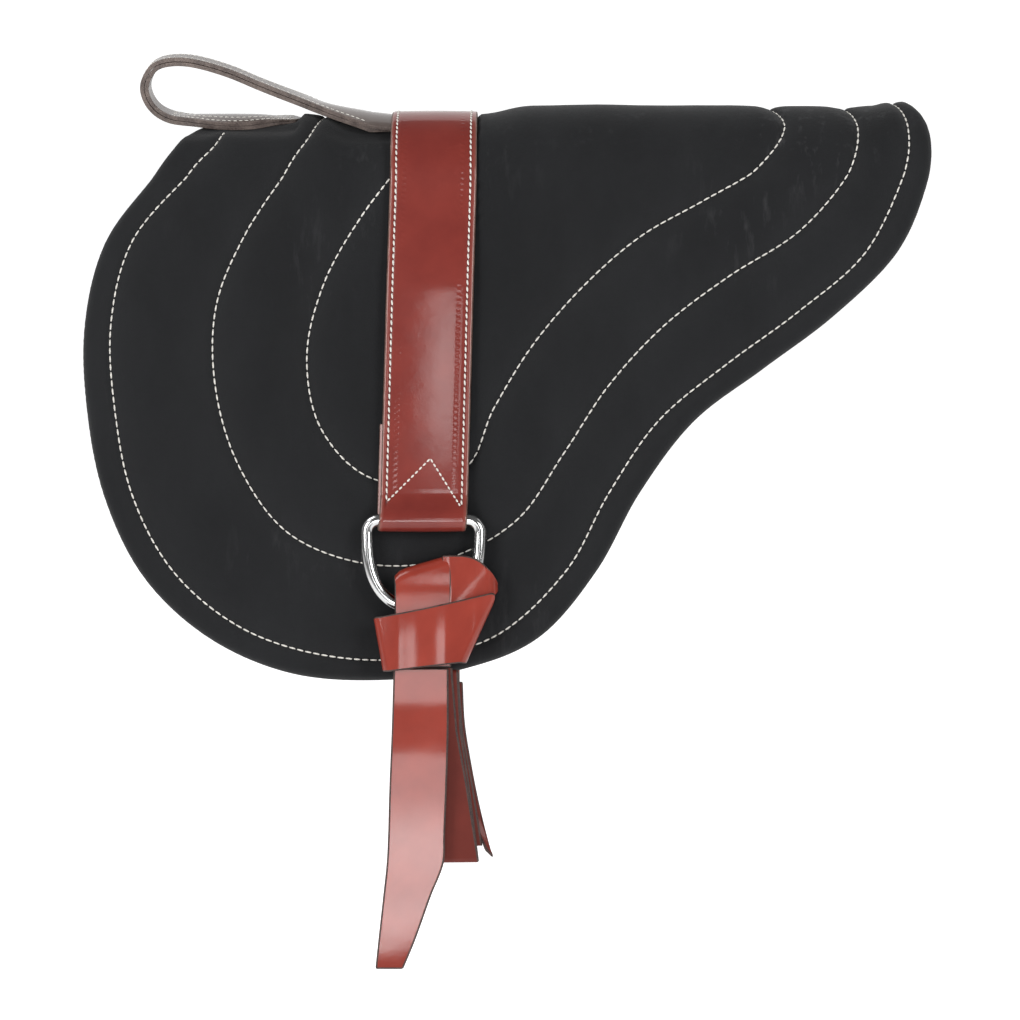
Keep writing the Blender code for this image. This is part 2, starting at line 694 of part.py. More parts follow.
def add_billet(latigo, pivot, cutters):
    """The single ply that hangs below the doubled part, pointed and punched."""
    length = BILLET_LENGTH - BILLET_TURN_BACK
    stations = (FIT_GAP / 2, length - BILLET_TIP, length)
    widths = (LATIGO_WIDTH, LATIGO_WIDTH, LATIGO_WIDTH * BILLET_TIP_SHARE)
    level = -OFF * LATIGO_PLY / 2

    def at(i, j):
        return Vector(((j - 0.5) * widths[i], level, -stations[i]))

    billet = add_ply("off_billet", strip_mesh("off_billet", 2, 1, at), LATIGO_PLY, latigo, pivot)
    shape = bmesh.new()
    for hole in range(BILLET_HOLES):
        made = bmesh.ops.create_cone(
            shape, cap_ends=True, segments=HOLE_SIDES, radius1=BILLET_HOLE / 2,
            radius2=BILLET_HOLE / 2, depth=LATIGO_PLY + CUT_OVERRUN,
        )
        down = BILLET_FIRST_HOLE - BILLET_TURN_BACK + BILLET_HOLE_PITCH * hole
        for vert in made["verts"]:
            vert.co = Vector((vert.co.x, level + vert.co.z, vert.co.y - down))
    bmesh.ops.recalc_face_normals(shape, faces=shape.faces)
    punch_mesh = bpy.data.meshes.new("billet_punches")
    shape.to_mesh(punch_mesh)
    shape.free()
    punches = bpy.data.objects.new("billet_punches", punch_mesh)
    cutters.objects.link(punches)
    punches.parent = pivot
    punches.hide_render = True
    punches.display_type = "WIRE"
    cut = billet.modifiers.new("Punched holes", "BOOLEAN")
    cut.operation = "DIFFERENCE"
    cut.object = punches


# The grab handle

def handle_line():
    """The handle's middle line: x, level over the paddles' seat, and how wide it has grown."""
    corners = [
        Vector((-HALF_STRAP - HANDLE_REACH * x, HANDLE_HEIGHT * z, wide))
        for x, z, wide in HANDLE_SHARES
    ]
    line = smooth_line(corners, HANDLE_STEPS)
    paddle_end = corners[-1].x + PADDLE_RUN
    for step in range(1, HANDLE_STEPS + 1):
        x = lerp(corners[-1].x, paddle_end, step / HANDLE_STEPS)
        wide = lerp(1.0, PADDLE_END_SHARE, (step / HANDLE_STEPS) ** 2)
        line.append(Vector((x, corners[-1].y, wide)))
    return line


def ridge_polygon_point(w, height):
    """A place beside the crest on the straight facets that the pad's own steps make."""
    steps = int(w / RIDGE_STEP)
    share = w / RIDGE_STEP - steps
    low = section_point(steps * RIDGE_STEP, height)
    high = section_point((steps + 1) * RIDGE_STEP, height)
    return lerp(low[0], high[0], share), lerp(low[1], high[1], share)


def add_handle(leather):
    line = handle_line()
    middle = PADDLE_SEAT + FIT_GAP + HANDLE_PLY + FIT_GAP / 2
    half_step = (HANDLE_PLY + FIT_GAP) / 2
    half_paddle = PADDLE_WIDTH / 2 * RIDGE_RADIUS / (RIDGE_RADIUS + middle)
    column_share = min(RIDGE_STEP / half_paddle, COLUMN_MOST_SHARE)
    columns = (-1.0, -column_share, 0.0, column_share, 1.0)

    def ply_place(points, lift):
        def at(i, j):
            before = points[max(i - 1, 0)]
            after = points[min(i + 1, len(points) - 1)]
            run = Vector((after.x - before.x, after.y - before.y)).normalized()
            x = points[i].x + run.y * lift
            height = points[i].y + middle - run.x * lift
            wide = min(max(points[i].z, 0.0), 1.0)
            flat_out = abs(columns[j]) * lerp(HANDLE_WIDTH, PADDLE_WIDTH, wide) / 2
            draped_out, draped_level = ridge_polygon_point(abs(columns[j]) * half_paddle, height)
            out = lerp(flat_out, draped_out, wide)
            raised = crest_rise(x, abs(columns[j]) * half_paddle)
            level = lerp(height, draped_level + raised, wide)
            return Vector((x, math.copysign(out, columns[j]), level))
        return at

    across = len(columns) - 1
    outer_mesh = strip_mesh("handle_outer_ply", len(line) - 1, across, ply_place(line, half_step))
    add_ply("handle_outer_ply", outer_mesh, HANDLE_PLY, leather)
    under = STRAP_SEAT + FIT_GAP + HANDLE_PLY / 2 + half_step - middle
    tucked = [Vector((-HALF_STRAP + PADDLE_TUCK, under, 1.0)), Vector((-HALF_STRAP, under, 1.0))]
    inner = tucked + line
    inner_mesh = strip_mesh("handle_inner_ply", len(inner) - 1, across,
                            ply_place(inner, -half_step))
    add_ply("handle_inner_ply", inner_mesh, HANDLE_PLY, leather)


clear_scene()
PARTS = new_collection("bareback_pad")
CUTTERS = new_collection("cutters")

NUBUCK = new_material("black nubuck", (0.022, 0.022, 0.024), 0.85)
FELT = new_material("grey wool felt", (0.10, 0.10, 0.10), 0.95)
LINING_FELT = new_material("charcoal wool felt", (0.045, 0.045, 0.048), 0.95)
STRAP_LEATHER = new_material("chestnut strap leather", (0.26, 0.035, 0.025), 0.32)
LATIGO_LEATHER = new_material("red latigo leather", (0.36, 0.045, 0.025), 0.38)
HANDLE_LEATHER = new_material("grey-brown handle leather", (0.14, 0.10, 0.08), 0.45)
STEEL = new_material("polished steel", (0.75, 0.75, 0.76), 0.12, 1.0)

add_pad(NUBUCK, FELT, LINING_FELT)
add_surcingle(STRAP_LEATHER)
add_handle(HANDLE_LEATHER)

NEAR_STRAP = strap_pivot("near_strap_pivot", NEAR)
NEAR_RING = new_pivot("near_ring_pivot", NEAR_STRAP,
                      (strap_drift(STRAP_HANG), NEAR * BAR_OFFSET, -STRAP_HANG))
NEAR_BUNDLE = new_pivot("near_bundle_pivot", NEAR_RING, (0.0, NEAR * TAIL_FACE, -BAND_BOTTOM))
NEAR_TAIL = new_pivot("near_tail_pivot", NEAR_BUNDLE, (0.0, 0.0, 0.0))
add_strap_end("near", NEAR, STRAP_LEATHER, NEAR_STRAP)
add_ring("near_d_ring", STEEL, NEAR_RING)
add_hitch(LATIGO_LEATHER, NEAR_RING)
add_cross_wrap(LATIGO_LEATHER, NEAR_RING)
add_band(LATIGO_LEATHER, NEAR_RING)
add_folds(LATIGO_LEATHER, NEAR_BUNDLE)
add_tail(LATIGO_LEATHER, NEAR_TAIL)

OFF_STRAP = strap_pivot("off_strap_pivot", OFF)
OFF_RING = new_pivot("off_ring_pivot", OFF_STRAP,
                     (strap_drift(STRAP_HANG), OFF * BAR_OFFSET, -STRAP_HANG))
OFF_BILLET = new_pivot("off_billet_pivot", OFF_RING,
                       (0.0, OFF * (BILLET_FRONT + LATIGO_PLY / 2), -RING_DROP - BILLET_TURN_BACK))
add_strap_end("off", OFF, STRAP_LEATHER, OFF_STRAP)
add_ring("off_d_ring", STEEL, OFF_RING)
add_billet_loop(LATIGO_LEATHER, OFF_RING)
add_billet(LATIGO_LEATHER, OFF_BILLET, CUTTERS)
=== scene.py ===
# %% [markdown]
# # A quilted bareback pad
# The real pad is a sandwich: black nubuck on top, thick wool felt in the middle and a felt
# lining below, quilted through in three rows. A surcingle of two leather plies crosses it and
# holds a D ring on each side. The near ring carries a tied latigo, the off ring a punched
# billet, and a folded handle stands in front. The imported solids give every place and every
# joint; this script dresses them.

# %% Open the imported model
import json
import math

import bmesh
import bpy
from mathutils import Matrix, Vector, kdtree, noise


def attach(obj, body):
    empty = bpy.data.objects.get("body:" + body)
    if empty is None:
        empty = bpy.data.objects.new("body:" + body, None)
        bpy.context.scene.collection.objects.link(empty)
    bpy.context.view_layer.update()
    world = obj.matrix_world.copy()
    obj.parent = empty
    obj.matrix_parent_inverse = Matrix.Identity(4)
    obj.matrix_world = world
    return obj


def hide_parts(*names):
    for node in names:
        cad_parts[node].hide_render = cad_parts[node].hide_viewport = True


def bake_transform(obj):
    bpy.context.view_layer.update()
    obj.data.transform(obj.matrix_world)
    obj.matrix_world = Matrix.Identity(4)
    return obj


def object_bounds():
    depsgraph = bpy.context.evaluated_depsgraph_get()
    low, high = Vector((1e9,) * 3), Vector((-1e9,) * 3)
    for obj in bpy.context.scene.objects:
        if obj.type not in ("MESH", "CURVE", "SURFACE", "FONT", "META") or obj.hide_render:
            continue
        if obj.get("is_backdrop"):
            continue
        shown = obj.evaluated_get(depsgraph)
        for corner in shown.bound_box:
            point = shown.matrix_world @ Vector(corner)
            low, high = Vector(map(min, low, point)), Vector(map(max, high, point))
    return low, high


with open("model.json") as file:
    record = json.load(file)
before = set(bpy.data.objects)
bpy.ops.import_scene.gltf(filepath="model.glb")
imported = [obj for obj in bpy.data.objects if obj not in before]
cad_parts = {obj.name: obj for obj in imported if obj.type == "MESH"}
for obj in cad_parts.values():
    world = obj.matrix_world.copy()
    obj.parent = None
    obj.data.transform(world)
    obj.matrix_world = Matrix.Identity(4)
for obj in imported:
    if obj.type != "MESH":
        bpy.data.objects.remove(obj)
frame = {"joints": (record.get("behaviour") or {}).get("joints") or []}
solid_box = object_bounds()
pivots = {joint["name"]: Vector(joint["pos_m"]) for joint in frame["joints"]}

# %% [markdown]
# ## Camera
# The photograph looks at the near side from a little above. The camera stands square to the
# spine, ten degrees up, with a long lens so that the pad keeps its proportions.

# %% Camera
VIEW_TARGET = Vector((0.0601, -0.1191, -0.2855))
VIEW_ELEVATION = math.radians(10.0)
VIEW_DISTANCE = 2.08
LENS_MM = 94.1

scene = bpy.context.scene


def add_to_scene(name, data, place=(0.0, 0.0, 0.0)):
    made = bpy.data.objects.new(name, data)
    scene.collection.objects.link(made)
    made.location = place
    return made


def aim(thing, target):
    thing.rotation_euler = (target - thing.location).to_track_quat("-Z", "Y").to_euler()


back_off = Vector((0.0, -math.cos(VIEW_ELEVATION), math.sin(VIEW_ELEVATION)))
camera = add_to_scene("camera", bpy.data.cameras.new("camera"),
                      VIEW_TARGET + back_off * VIEW_DISTANCE)
camera.data.lens = LENS_MM
aim(camera, VIEW_TARGET)
scene.camera = camera
print("camera stands at", [round(value, 3) for value in camera.location])

# %% [markdown]
# ## Nodes made short
# Every finish below is a small node tree. It could be drawn by hand in the shader editor, but
# a tree in code can be read, repeated and tuned. Short helpers keep it readable: one adds a
# node and fills its sockets, with a value or a link as needed, one starts a finish, and one
# feeds what changes over the surface to its shader.

# %% Node helpers
def add_node(tree, kind, inputs=(), **settings):
    made = tree.nodes.new(kind)
    for name, value in settings.items():
        setattr(made, name, value)
    for name, value in dict(inputs).items():
        if isinstance(value, bpy.types.NodeSocket):
            tree.links.new(value, made.inputs[name])
        else:
            made.inputs[name].default_value = value
    return made


def maths(tree, operation, first, second=0.5):
    return add_node(tree, "ShaderNodeMath", {0: first, 1: second}, operation=operation).outputs[0]


def times(tree, first, second):
    return maths(tree, "MULTIPLY", first, second)


def mix_colour(tree, share, *colours):
    """Mix two colours, each a socket or three numbers."""
    first, second = (colour if isinstance(colour, bpy.types.NodeSocket) else (*colour, 1.0)
                     for colour in colours)
    made = add_node(tree, "ShaderNodeMix", {0: share, 6: first, 7: second}, data_type="RGBA")
    return made.outputs[2]


def span(tree, value, low, high, new_low=0.0, new_high=1.0):
    return add_node(tree, "ShaderNodeMapRange", {
        "Value": value, "From Min": low, "From Max": high, "To Min": new_low, "To Max": new_high,
    }).outputs["Result"]


def speckle(tree, coordinates, scale, detail=3.0, roughness=0.5):
    return add_node(tree, "ShaderNodeTexNoise", {
        "Vector": coordinates, "Scale": scale, "Detail": detail, "Roughness": roughness,
    }).outputs["Fac"]


def stretched(tree, coordinates, scale, turn=(0.0, 0.0, 0.0)):
    return add_node(tree, "ShaderNodeMapping", {
        "Vector": coordinates, "Scale": scale, "Rotation": turn,
    }).outputs["Vector"]


def bump(tree, height, distance, strength=1.0, **normal):
    return add_node(tree, "ShaderNodeBump", {
        "Height": height, "Distance": distance, "Strength": strength, **normal,
    }).outputs["Normal"]


def object_places(tree):
    return add_node(tree, "ShaderNodeTexCoord").outputs["Object"]


def seam_share(tree):
    return add_node(tree, "ShaderNodeAttribute", attribute_name="seam").outputs["Fac"]


def new_finish(name, **constants):
    """A material and its tree, with the shader's values that are the same all over."""
    finish = bpy.data.materials.new(name)
    finish.use_nodes = True
    shader = finish.node_tree.nodes["Principled BSDF"]
    for socket, value in constants.items():
        shader.inputs[socket.replace("_", " ")].default_value = value
    return finish, finish.node_tree


def feed(tree, **values):
    """Link what changes over the surface to the shader's sockets of those names."""
    shader = tree.nodes["Principled BSDF"]
    for socket, value in values.items():
        tree.links.new(value, shader.inputs[socket.replace("_", " ")])


def new_group(name, numbers, masks):
    """An empty node group that takes a vector and some numbers, and puts out masks."""
    tree = bpy.data.node_groups.new(name, "ShaderNodeTree")
    tree.interface.new_socket("Vector", in_out="INPUT", socket_type="NodeSocketVector")
    for socket, value in numbers.items():
        made = tree.interface.new_socket(socket, in_out="INPUT", socket_type="NodeSocketFloat")
        made.default_value = value
    for socket in masks:
        tree.interface.new_socket(socket, in_out="OUTPUT", socket_type="NodeSocketFloat")
    return tree, tree.nodes.new("NodeGroupInput").outputs, tree.nodes.new("NodeGroupOutput").inputs


def place_group(tree, group, **inputs):
    return add_node(tree, "ShaderNodeGroup", inputs, node_tree=group).outputs


# %% [markdown]
# ## Effects that several finishes share
# Leather has pores and fine creases, whatever its colour. Scratches and rubbed streaks show on
# the nubuck and on the straps alike. The nodes could be copied into every finish, but then a
# change would have to be made in each. So each effect is a node group, built once, that only
# puts out masks and heights; the shader and its constants stay in each material.

# %% Shared effects
grain_group, given, out = new_group("leather grain", {"Scale": 1.0}, ["Height", "Mottle"])
tree, where, scale = grain_group, given["Vector"], given["Scale"]
cells = add_node(tree, "ShaderNodeTexVoronoi", {
    "Vector": where, "Scale": times(tree, scale, 900.0),
}, feature="DISTANCE_TO_EDGE").outputs["Distance"]
pores = times(tree, span(tree, cells, 0.0, 0.35), 0.45)
creases = speckle(tree, where, times(tree, scale, 260.0), 5.0, 0.6)
clouds = speckle(tree, where, times(tree, scale, 24.0), 4.0, 0.55)
tree.links.new(maths(tree, "ADD", pores, creases), out["Height"])
tree.links.new(span(tree, clouds, 0.3, 0.7), out["Mottle"])

scuff_group, given, out = new_group("scuffs", {"Scale": 1.0, "Amount": 0.5}, ["Mask"])
tree, where, scale = scuff_group, given["Vector"], given["Scale"]
streaks = speckle(tree, stretched(tree, where, (1.0, 1.0, 0.12), (0.0, 0.5, 0.0)),
                  times(tree, scale, 160.0), 4.0, 0.65)
patches = speckle(tree, where, times(tree, scale, 9.0), 2.0)
sparse = times(tree, span(tree, streaks, 0.56, 0.78), span(tree, patches, 0.52, 0.68))
tree.links.new(times(tree, sparse, given["Amount"]), out["Mask"])
print("shared effects:", grain_group.name, "and", scuff_group.name)

# %% [markdown]
# ## Nubuck
# Nubuck is sanded leather, so it is matt with a short nap. The nap is a very fine bump and a
# little sheen; brushing leaves darker and lighter patches, and near the quilted rows the tone
# is painted a shade paler, partly dust and partly painted highlight on the puckers. A painted
# picture could hold all that, but noise in the
# pad's own coordinates has no seams and no resolution. The `seam` attribute, written when
# the cover is modelled, says how near a quilted row is.

# %% Nubuck
nubuck, tree = new_finish("black nubuck", Sheen_Weight=0.10, Sheen_Roughness=0.45,
                          Specular_IOR_Level=0.15)
where = object_places(tree)
brushed = speckle(tree, stretched(tree, where, (1.0, 1.0, 0.45)), 14.0, 5.0, 0.6)
nap = speckle(tree, where, 1500.0, 2.0, 0.7)
scuffs = place_group(tree, scuff_group, Vector=where, Scale=0.55, Amount=0.55)["Mask"]
tone = mix_colour(tree, span(tree, brushed, 0.35, 0.68),
                  (0.0125, 0.0130, 0.0142), (0.0195, 0.0202, 0.0218))
# Partly dust, partly painted highlight: the tone turns paler near the quilted rows.
tone = mix_colour(tree, times(tree, seam_share(tree), 0.18), tone, (0.046, 0.046, 0.048))
tone = mix_colour(tree, scuffs, tone, (0.080, 0.080, 0.084))
tone = mix_colour(tree, span(tree, nap, 0.3, 0.8, 0.0, 0.25), tone, (0.010, 0.010, 0.011))
soft = bump(tree, speckle(tree, where, 220.0, 4.0, 0.6), 0.0007, 0.35)
feed(tree, Base_Color=tone, Roughness=span(tree, brushed, 0.3, 0.7, 0.78, 0.95),
     Normal=bump(tree, nap, 0.0004, 0.5, Normal=soft))
print(nubuck.name, "has", len(tree.nodes), "nodes")

# %% [markdown]
# ## Felt
# Pressed wool has no weave. Short fibres lie in every direction, so two stretched noises at
# odd angles give the fuzz, and a coarse one the uneven density. Real fibres, grown as hair,
# would cost far more than this hidden side is worth.

# %% Felt
felt, tree = new_finish("charcoal felt", Sheen_Weight=0.35, Sheen_Roughness=0.6,
                        Specular_IOR_Level=0.2)
where = object_places(tree)
fuzz = maths(tree, "ADD",
             speckle(tree, stretched(tree, where, (1.0, 0.25, 1.0), (0.3, 0.2, 0.6)), 1100.0),
             speckle(tree, stretched(tree, where, (0.25, 1.0, 0.6), (0.9, 0.4, 0.2)), 900.0))
density = speckle(tree, where, 40.0, 4.0)
tone = mix_colour(tree, span(tree, fuzz, 0.7, 1.3), (0.030, 0.030, 0.033), (0.085, 0.085, 0.088))
tone = mix_colour(tree, span(tree, density, 0.3, 0.7, 0.0, 0.45), tone, (0.035, 0.035, 0.037))
feed(tree, Base_Color=tone, Roughness=span(tree, density, 0.3, 0.7, 0.86, 0.98),
     Normal=bump(tree, maths(tree, "ADD", fuzz, density), 0.0009, 0.6))
print(felt.name, "has", len(tree.nodes), "nodes")

# %% [markdown]
# ## Strap leathers
# The surcingle is chestnut bridle leather, waxed to a gloss, and the latigo a brighter red.
# Both are one recipe with other values: mottled dye, pores, faint scratches and a clear coat.
# A strap's pattern follows its own UV map, which is written in metres across and along. That
# map also places what the needle left: the stitched rows sink into a crease, darkened there as
# painted shade, and older rows beside them left small prints.

# %% Strap leathers
MARGIN_RUN = 0.0018
OLD_ROW = 0.0228
OLD_ROW_PITCH = 0.0045
MARGIN_COLOUR = (0.30, 0.105, 0.080)
# Painted shade for the creases under the stitched rows.
CREASE_SHADE_COLOUR = (0.045, 0.010, 0.008)


def strap_leather(name, dark, light, roughness, coat, margin_from=1.0, prints=0.0):
    finish, tree = new_finish(name, Coat_Weight=coat, Coat_Roughness=0.09,
                              Specular_IOR_Level=0.22)
    where = add_node(tree, "ShaderNodeUVMap", uv_map="UVMap").outputs["UV"]
    parts = add_node(tree, "ShaderNodeSeparateXYZ", {0: where}).outputs
    beside = maths(tree, "ABSOLUTE", parts["X"])
    grain = place_group(tree, grain_group, Vector=where, Scale=1.0)
    scratches = place_group(tree, scuff_group, Vector=where, Scale=0.9, Amount=0.12)["Mask"]
    bands = speckle(tree, stretched(tree, where, (1.0, 0.35, 1.0)), 12.0, 3.0)
    margin = span(tree, beside, margin_from, margin_from + MARGIN_RUN, 0.0, 0.45)
    pale = tuple(min(value * 1.5 + 0.03, 1.0) for value in light)
    tone = mix_colour(tree, grain["Mottle"], dark, light)
    tone = mix_colour(tree, span(tree, bands, 0.35, 0.7, 0.0, 0.5), tone, dark)
    tone = mix_colour(tree, scratches, tone, pale)
    tone = mix_colour(tree, margin, tone, MARGIN_COLOUR)
    # Painted shade: the crease under each stitched row is darkened.
    tone = mix_colour(tree, times(tree, seam_share(tree), 0.7), tone, CREASE_SHADE_COLOUR)
    dull = maths(tree, "ADD", span(tree, bands, 0.3, 0.7, -0.05, 0.07),
                 times(tree, scratches, 0.25))
    beat = maths(tree, "SINE", times(tree, parts["Y"], 2.0 * math.pi / OLD_ROW_PITCH))
    there = span(tree, speckle(tree, where, 9.0, 2.0), 0.40, 0.62, 0.0, prints)
    from_row = maths(tree, "ABSOLUTE", maths(tree, "SUBTRACT", beside, OLD_ROW))
    dents = times(tree, times(tree, beat, there), span(tree, from_row, 0.0020, 0.0008))
    fine = bump(tree, grain["Height"], 0.00002, 0.7)
    waves = bump(tree, speckle(tree, where, 15.0, 4.0, 0.45), 0.0006, 0.6, Normal=fine)
    uneven = bump(tree, dents, 0.00016, 0.6, Normal=waves)
    feed(tree, Base_Color=tone, Roughness=maths(tree, "ADD", dull, roughness), Normal=uneven,
         Coat_Normal=uneven)
    return finish


chestnut = strap_leather("chestnut strap leather", (0.185, 0.022, 0.016),
                         (0.255, 0.035, 0.024), 0.46, 0.80, margin_from=0.0304, prints=1.0)
latigo_red = strap_leather("red latigo leather", (0.260, 0.027, 0.014),
                           (0.370, 0.044, 0.024), 0.46, 0.85)
# The folds' leather: a matt, uncoated flesh side, with its darker colour painted shade where the
# tail shades the folds.
latigo_flesh_shaded = strap_leather("latigo flesh side in painted shade", (0.130, 0.020, 0.014),
                             (0.190, 0.030, 0.020), 0.60, 0.22)
handle_brown = strap_leather("grey-brown handle leather", (0.080, 0.056, 0.048),
                             (0.165, 0.130, 0.115), 0.44, 0.60)
print("leathers:", [finish.name for finish in (chestnut, latigo_red, latigo_flesh_shaded, handle_brown)])

# %% [markdown]
# ## Cut edges
# A strap's edge is raw leather, rubbed smooth. Its fibres show as fine specks, and the dye has
# gone in unevenly, so it is paler and greyer than the face. It could be a mask on the face's
# finish, but a finish of its own follows the edge faces exactly.

# %% Cut edges
def edge_finish(name, dark, light):
    finish, tree = new_finish(name)
    where = object_places(tree)
    fibres = speckle(tree, where, 700.0, 4.0, 0.6)
    stains = speckle(tree, where, 90.0, 4.0)
    mixed = span(tree, maths(tree, "ADD", fibres, stains), 0.75, 1.25)
    feed(tree, Base_Color=mix_colour(tree, mixed, dark, light),
         Roughness=span(tree, stains, 0.3, 0.7, 0.45, 0.65),
         Normal=bump(tree, fibres, 0.0003, 0.5))
    return finish


strap_edge = edge_finish("burnished strap edge", (0.095, 0.042, 0.032), (0.230, 0.135, 0.105))
latigo_edge = edge_finish("burnished latigo edge", (0.030, 0.014, 0.012), (0.100, 0.054, 0.045))
handle_edge = edge_finish("burnished handle edge", (0.075, 0.056, 0.050), (0.210, 0.165, 0.145))
print("edges:", [finish.name for finish in (strap_edge, latigo_edge, handle_edge)])

# %% [markdown]
# ## Thread, steel and floor
# The thread is waxed cream linen, the rings are polished steel with a few fingerprints, and
# the floor is plain. Each needs one noise only, because none fills much of the picture. The
# floor also glows a little, more to the camera than to the pad, so that it stays pale
# without lighting the pad much from below.

# %% Thread, steel and floor
thread, tree = new_finish("cream thread", Sheen_Weight=0.1, Roughness=0.6)
twist = speckle(tree, object_places(tree), 2600.0, 2.0)
feed(tree, Base_Color=mix_colour(tree, twist, (0.78, 0.74, 0.66), (0.94, 0.92, 0.87)),
     Normal=bump(tree, twist, 0.0003, 0.6))

steel, tree = new_finish("polished steel", Metallic=1.0)
prints = speckle(tree, object_places(tree), 55.0, 4.0)
feed(tree, Base_Color=mix_colour(tree, prints, (0.83, 0.83, 0.82), (0.72, 0.72, 0.73)),
     Roughness=span(tree, prints, 0.35, 0.7, 0.13, 0.20))

floor_finish, tree = new_finish("pale floor", Roughness=0.9, Emission_Color=(1.0, 1.0, 1.0, 1.0))
clouds = speckle(tree, object_places(tree), 3.0)
seen = add_node(tree, "ShaderNodeLightPath").outputs["Is Camera Ray"]
feed(tree, Base_Color=mix_colour(tree, clouds, (0.86, 0.86, 0.86), (0.90, 0.90, 0.90)),
     Emission_Strength=span(tree, seen, 0.0, 1.0, 0.20, 0.70))
print("others:", [finish.name for finish in (thread, steel, floor_finish)])

# %% [markdown]
# ## Studio
# The studio is dark towards the camera and white behind the pad, so the strap stays deep red
# and only its crest, seen at a flat angle, turns grey. Two large lamps light the pad from the
# sides and a third one from above. Four soft boxes, one over the other, stand just where the
# flat leather mirrors the camera: they draw the long highlights.

# %% Studio
FLOOR_DROP = 0.10
FLOOR_SIZE = 60.0
PAD_MIDDLE = (0.0, -0.1, -0.25)

world = bpy.data.worlds.new("white studio")
scene.world = world
world.use_nodes = True
tree = world.node_tree
background = tree.nodes["Background"]
heading = add_node(tree, "ShaderNodeTexCoord").outputs["Generated"]
parts = add_node(tree, "ShaderNodeSeparateXYZ", {0: heading}).outputs
behind = span(tree, parts["Y"], 0.0, 0.15)
ceiling = span(tree, parts["Z"], 0.79, 0.83)
backdrop = times(tree, behind, maths(tree, "SUBTRACT", 1.0, ceiling))
glow = span(tree, backdrop, 0.0, 1.0, 0.10, 1.05)
directly = add_node(tree, "ShaderNodeLightPath").outputs["Is Camera Ray"]
level = maths(tree, "MAXIMUM", glow, times(tree, directly, 1.15))
tree.links.new(level, background.inputs["Strength"])
background.inputs["Color"].default_value = (1.0, 1.0, 1.0, 1.0)


def add_lamp(name, place, target, width, height, power):
    data = bpy.data.lights.new(name, "AREA")
    data.shape = "RECTANGLE"
    data.size = width
    data.size_y = height
    data.energy = power
    aim(add_to_scene(name, data, place), Vector(target))


add_lamp("left_lamp", (-1.6, -1.9, 0.8), PAD_MIDDLE, 0.9, 1.2, 26.0)
add_lamp("right_lamp", (1.7, -1.9, 0.8), PAD_MIDDLE, 0.9, 1.2, 26.0)
add_lamp("top_lamp", (-1.3, -0.3, 1.9), PAD_MIDDLE, 1.2, 1.0, 14.0)
add_lamp("high_softbox", (0.01, -2.1, 0.51), (0.01, -0.1, -0.18), 0.17, 0.25, 0.75)
add_lamp("low_softbox", (-0.08, -2.1, -0.13), (0.0, -0.15, -0.45), 0.40, 0.54, 3.4)
add_lamp("foot_softbox", (-0.08, -2.12, -0.29), (0.0, -0.15, -0.53), 0.36, 0.20, 0.8)
add_lamp("last_softbox", (-0.08, -2.13, -0.34), (0.0, -0.15, -0.57), 0.36, 0.10, 0.35)

floor_shape = bmesh.new()
bmesh.ops.create_grid(floor_shape, x_segments=1, y_segments=1, size=FLOOR_SIZE / 2)
floor_mesh = bpy.data.meshes.new("floor")
floor_shape.to_mesh(floor_mesh)
floor_shape.free()
floor_mesh.materials.append(floor_finish)
floor = add_to_scene("floor", floor_mesh, (0.0, 0.0, solid_box[0].z - FLOOR_DROP))
floor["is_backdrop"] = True
scene.view_settings.view_transform = "Standard"
print("floor lies at", round(floor.location.z, 3))

# %% [markdown]
# ## Sizes of the pad
# These are the real sizes of the pieces. A place on the pad is given by x, by w, the distance
# from the spine measured along the underside, and by its height over the underside. The
# outline and the quilted rows are shares of the pad's length and of its flap's drop, and the
# handle's line is shares of its reach and its height, each with how far it has widened.

# %% Sizes of the pad
PAD_LENGTH = 0.667
FLAP_DROP = 0.461
SURCINGLE_PLACE = 0.273
RIDGE_RADIUS = 0.047
FLAP_SPLAY = math.radians(13.0)
REAR_RISE = 0.0062
RISE_RUN = 0.046
LINING_THICKNESS = 0.0020
COVER_THICKNESS = 0.0018
CROWN = 0.0185
RIM_CROWN = 0.0178
QUILT = 0.0140
FIT_GAP = 0.0003
STRAP_WIDTH = 0.068
STRAP_PLY = 0.0032
STRAP_SEAT = 0.0085
SEAT_SPREAD = 0.036
SEAT_SLOPE = 0.5
SEAT_WALL = 0.0168
SEAT_WALL_RUN = 0.004
SEWN_LENGTH = 0.156
STRAP_HANG = 0.181
STRAP_DRIFT = 0.007
HANDLE_PLY = 0.0033
HANDLE_REACH = 0.200
HANDLE_HEIGHT = 0.0565
HANDLE_WIDTH = 0.019
PADDLE_WIDTH = 0.060
PADDLE_SEAT = 0.012
PADDLE_RUN = 0.054
PADDLE_TUCK = 0.046
PADDLE_SPREAD = 0.012
NEAR = -1
OFF = 1

EDGE_SHARES = [
    (0.143, 0.0), (0.081, 0.126), (0.022, 0.249), (-0.002, 0.396), (0.002, 0.547), (0.024, 0.694),
    (0.071, 0.828), (0.147, 0.929), (0.242, 0.988), (0.347, 1.000), (0.448, 0.980), (0.534, 0.927),
    (0.601, 0.815), (0.652, 0.682), (0.716, 0.560), (0.798, 0.470), (0.881, 0.380), (0.955, 0.274),
    (0.991, 0.160), (0.999, 0.070), (0.985, 0.0),
]
OUTER_ROW_SHARES = [
    (0.171, 0.0), (0.154, 0.080), (0.122, 0.130), (0.056, 0.248), (0.031, 0.392), (0.036, 0.541),
    (0.058, 0.690), (0.108, 0.820), (0.189, 0.914), (0.288, 0.959), (0.390, 0.962), (0.486, 0.922),
    (0.565, 0.815), (0.615, 0.684), (0.674, 0.560), (0.754, 0.464), (0.837, 0.376), (0.916, 0.276),
    (0.962, 0.145), (0.971, 0.070), (0.959, 0.0),
]
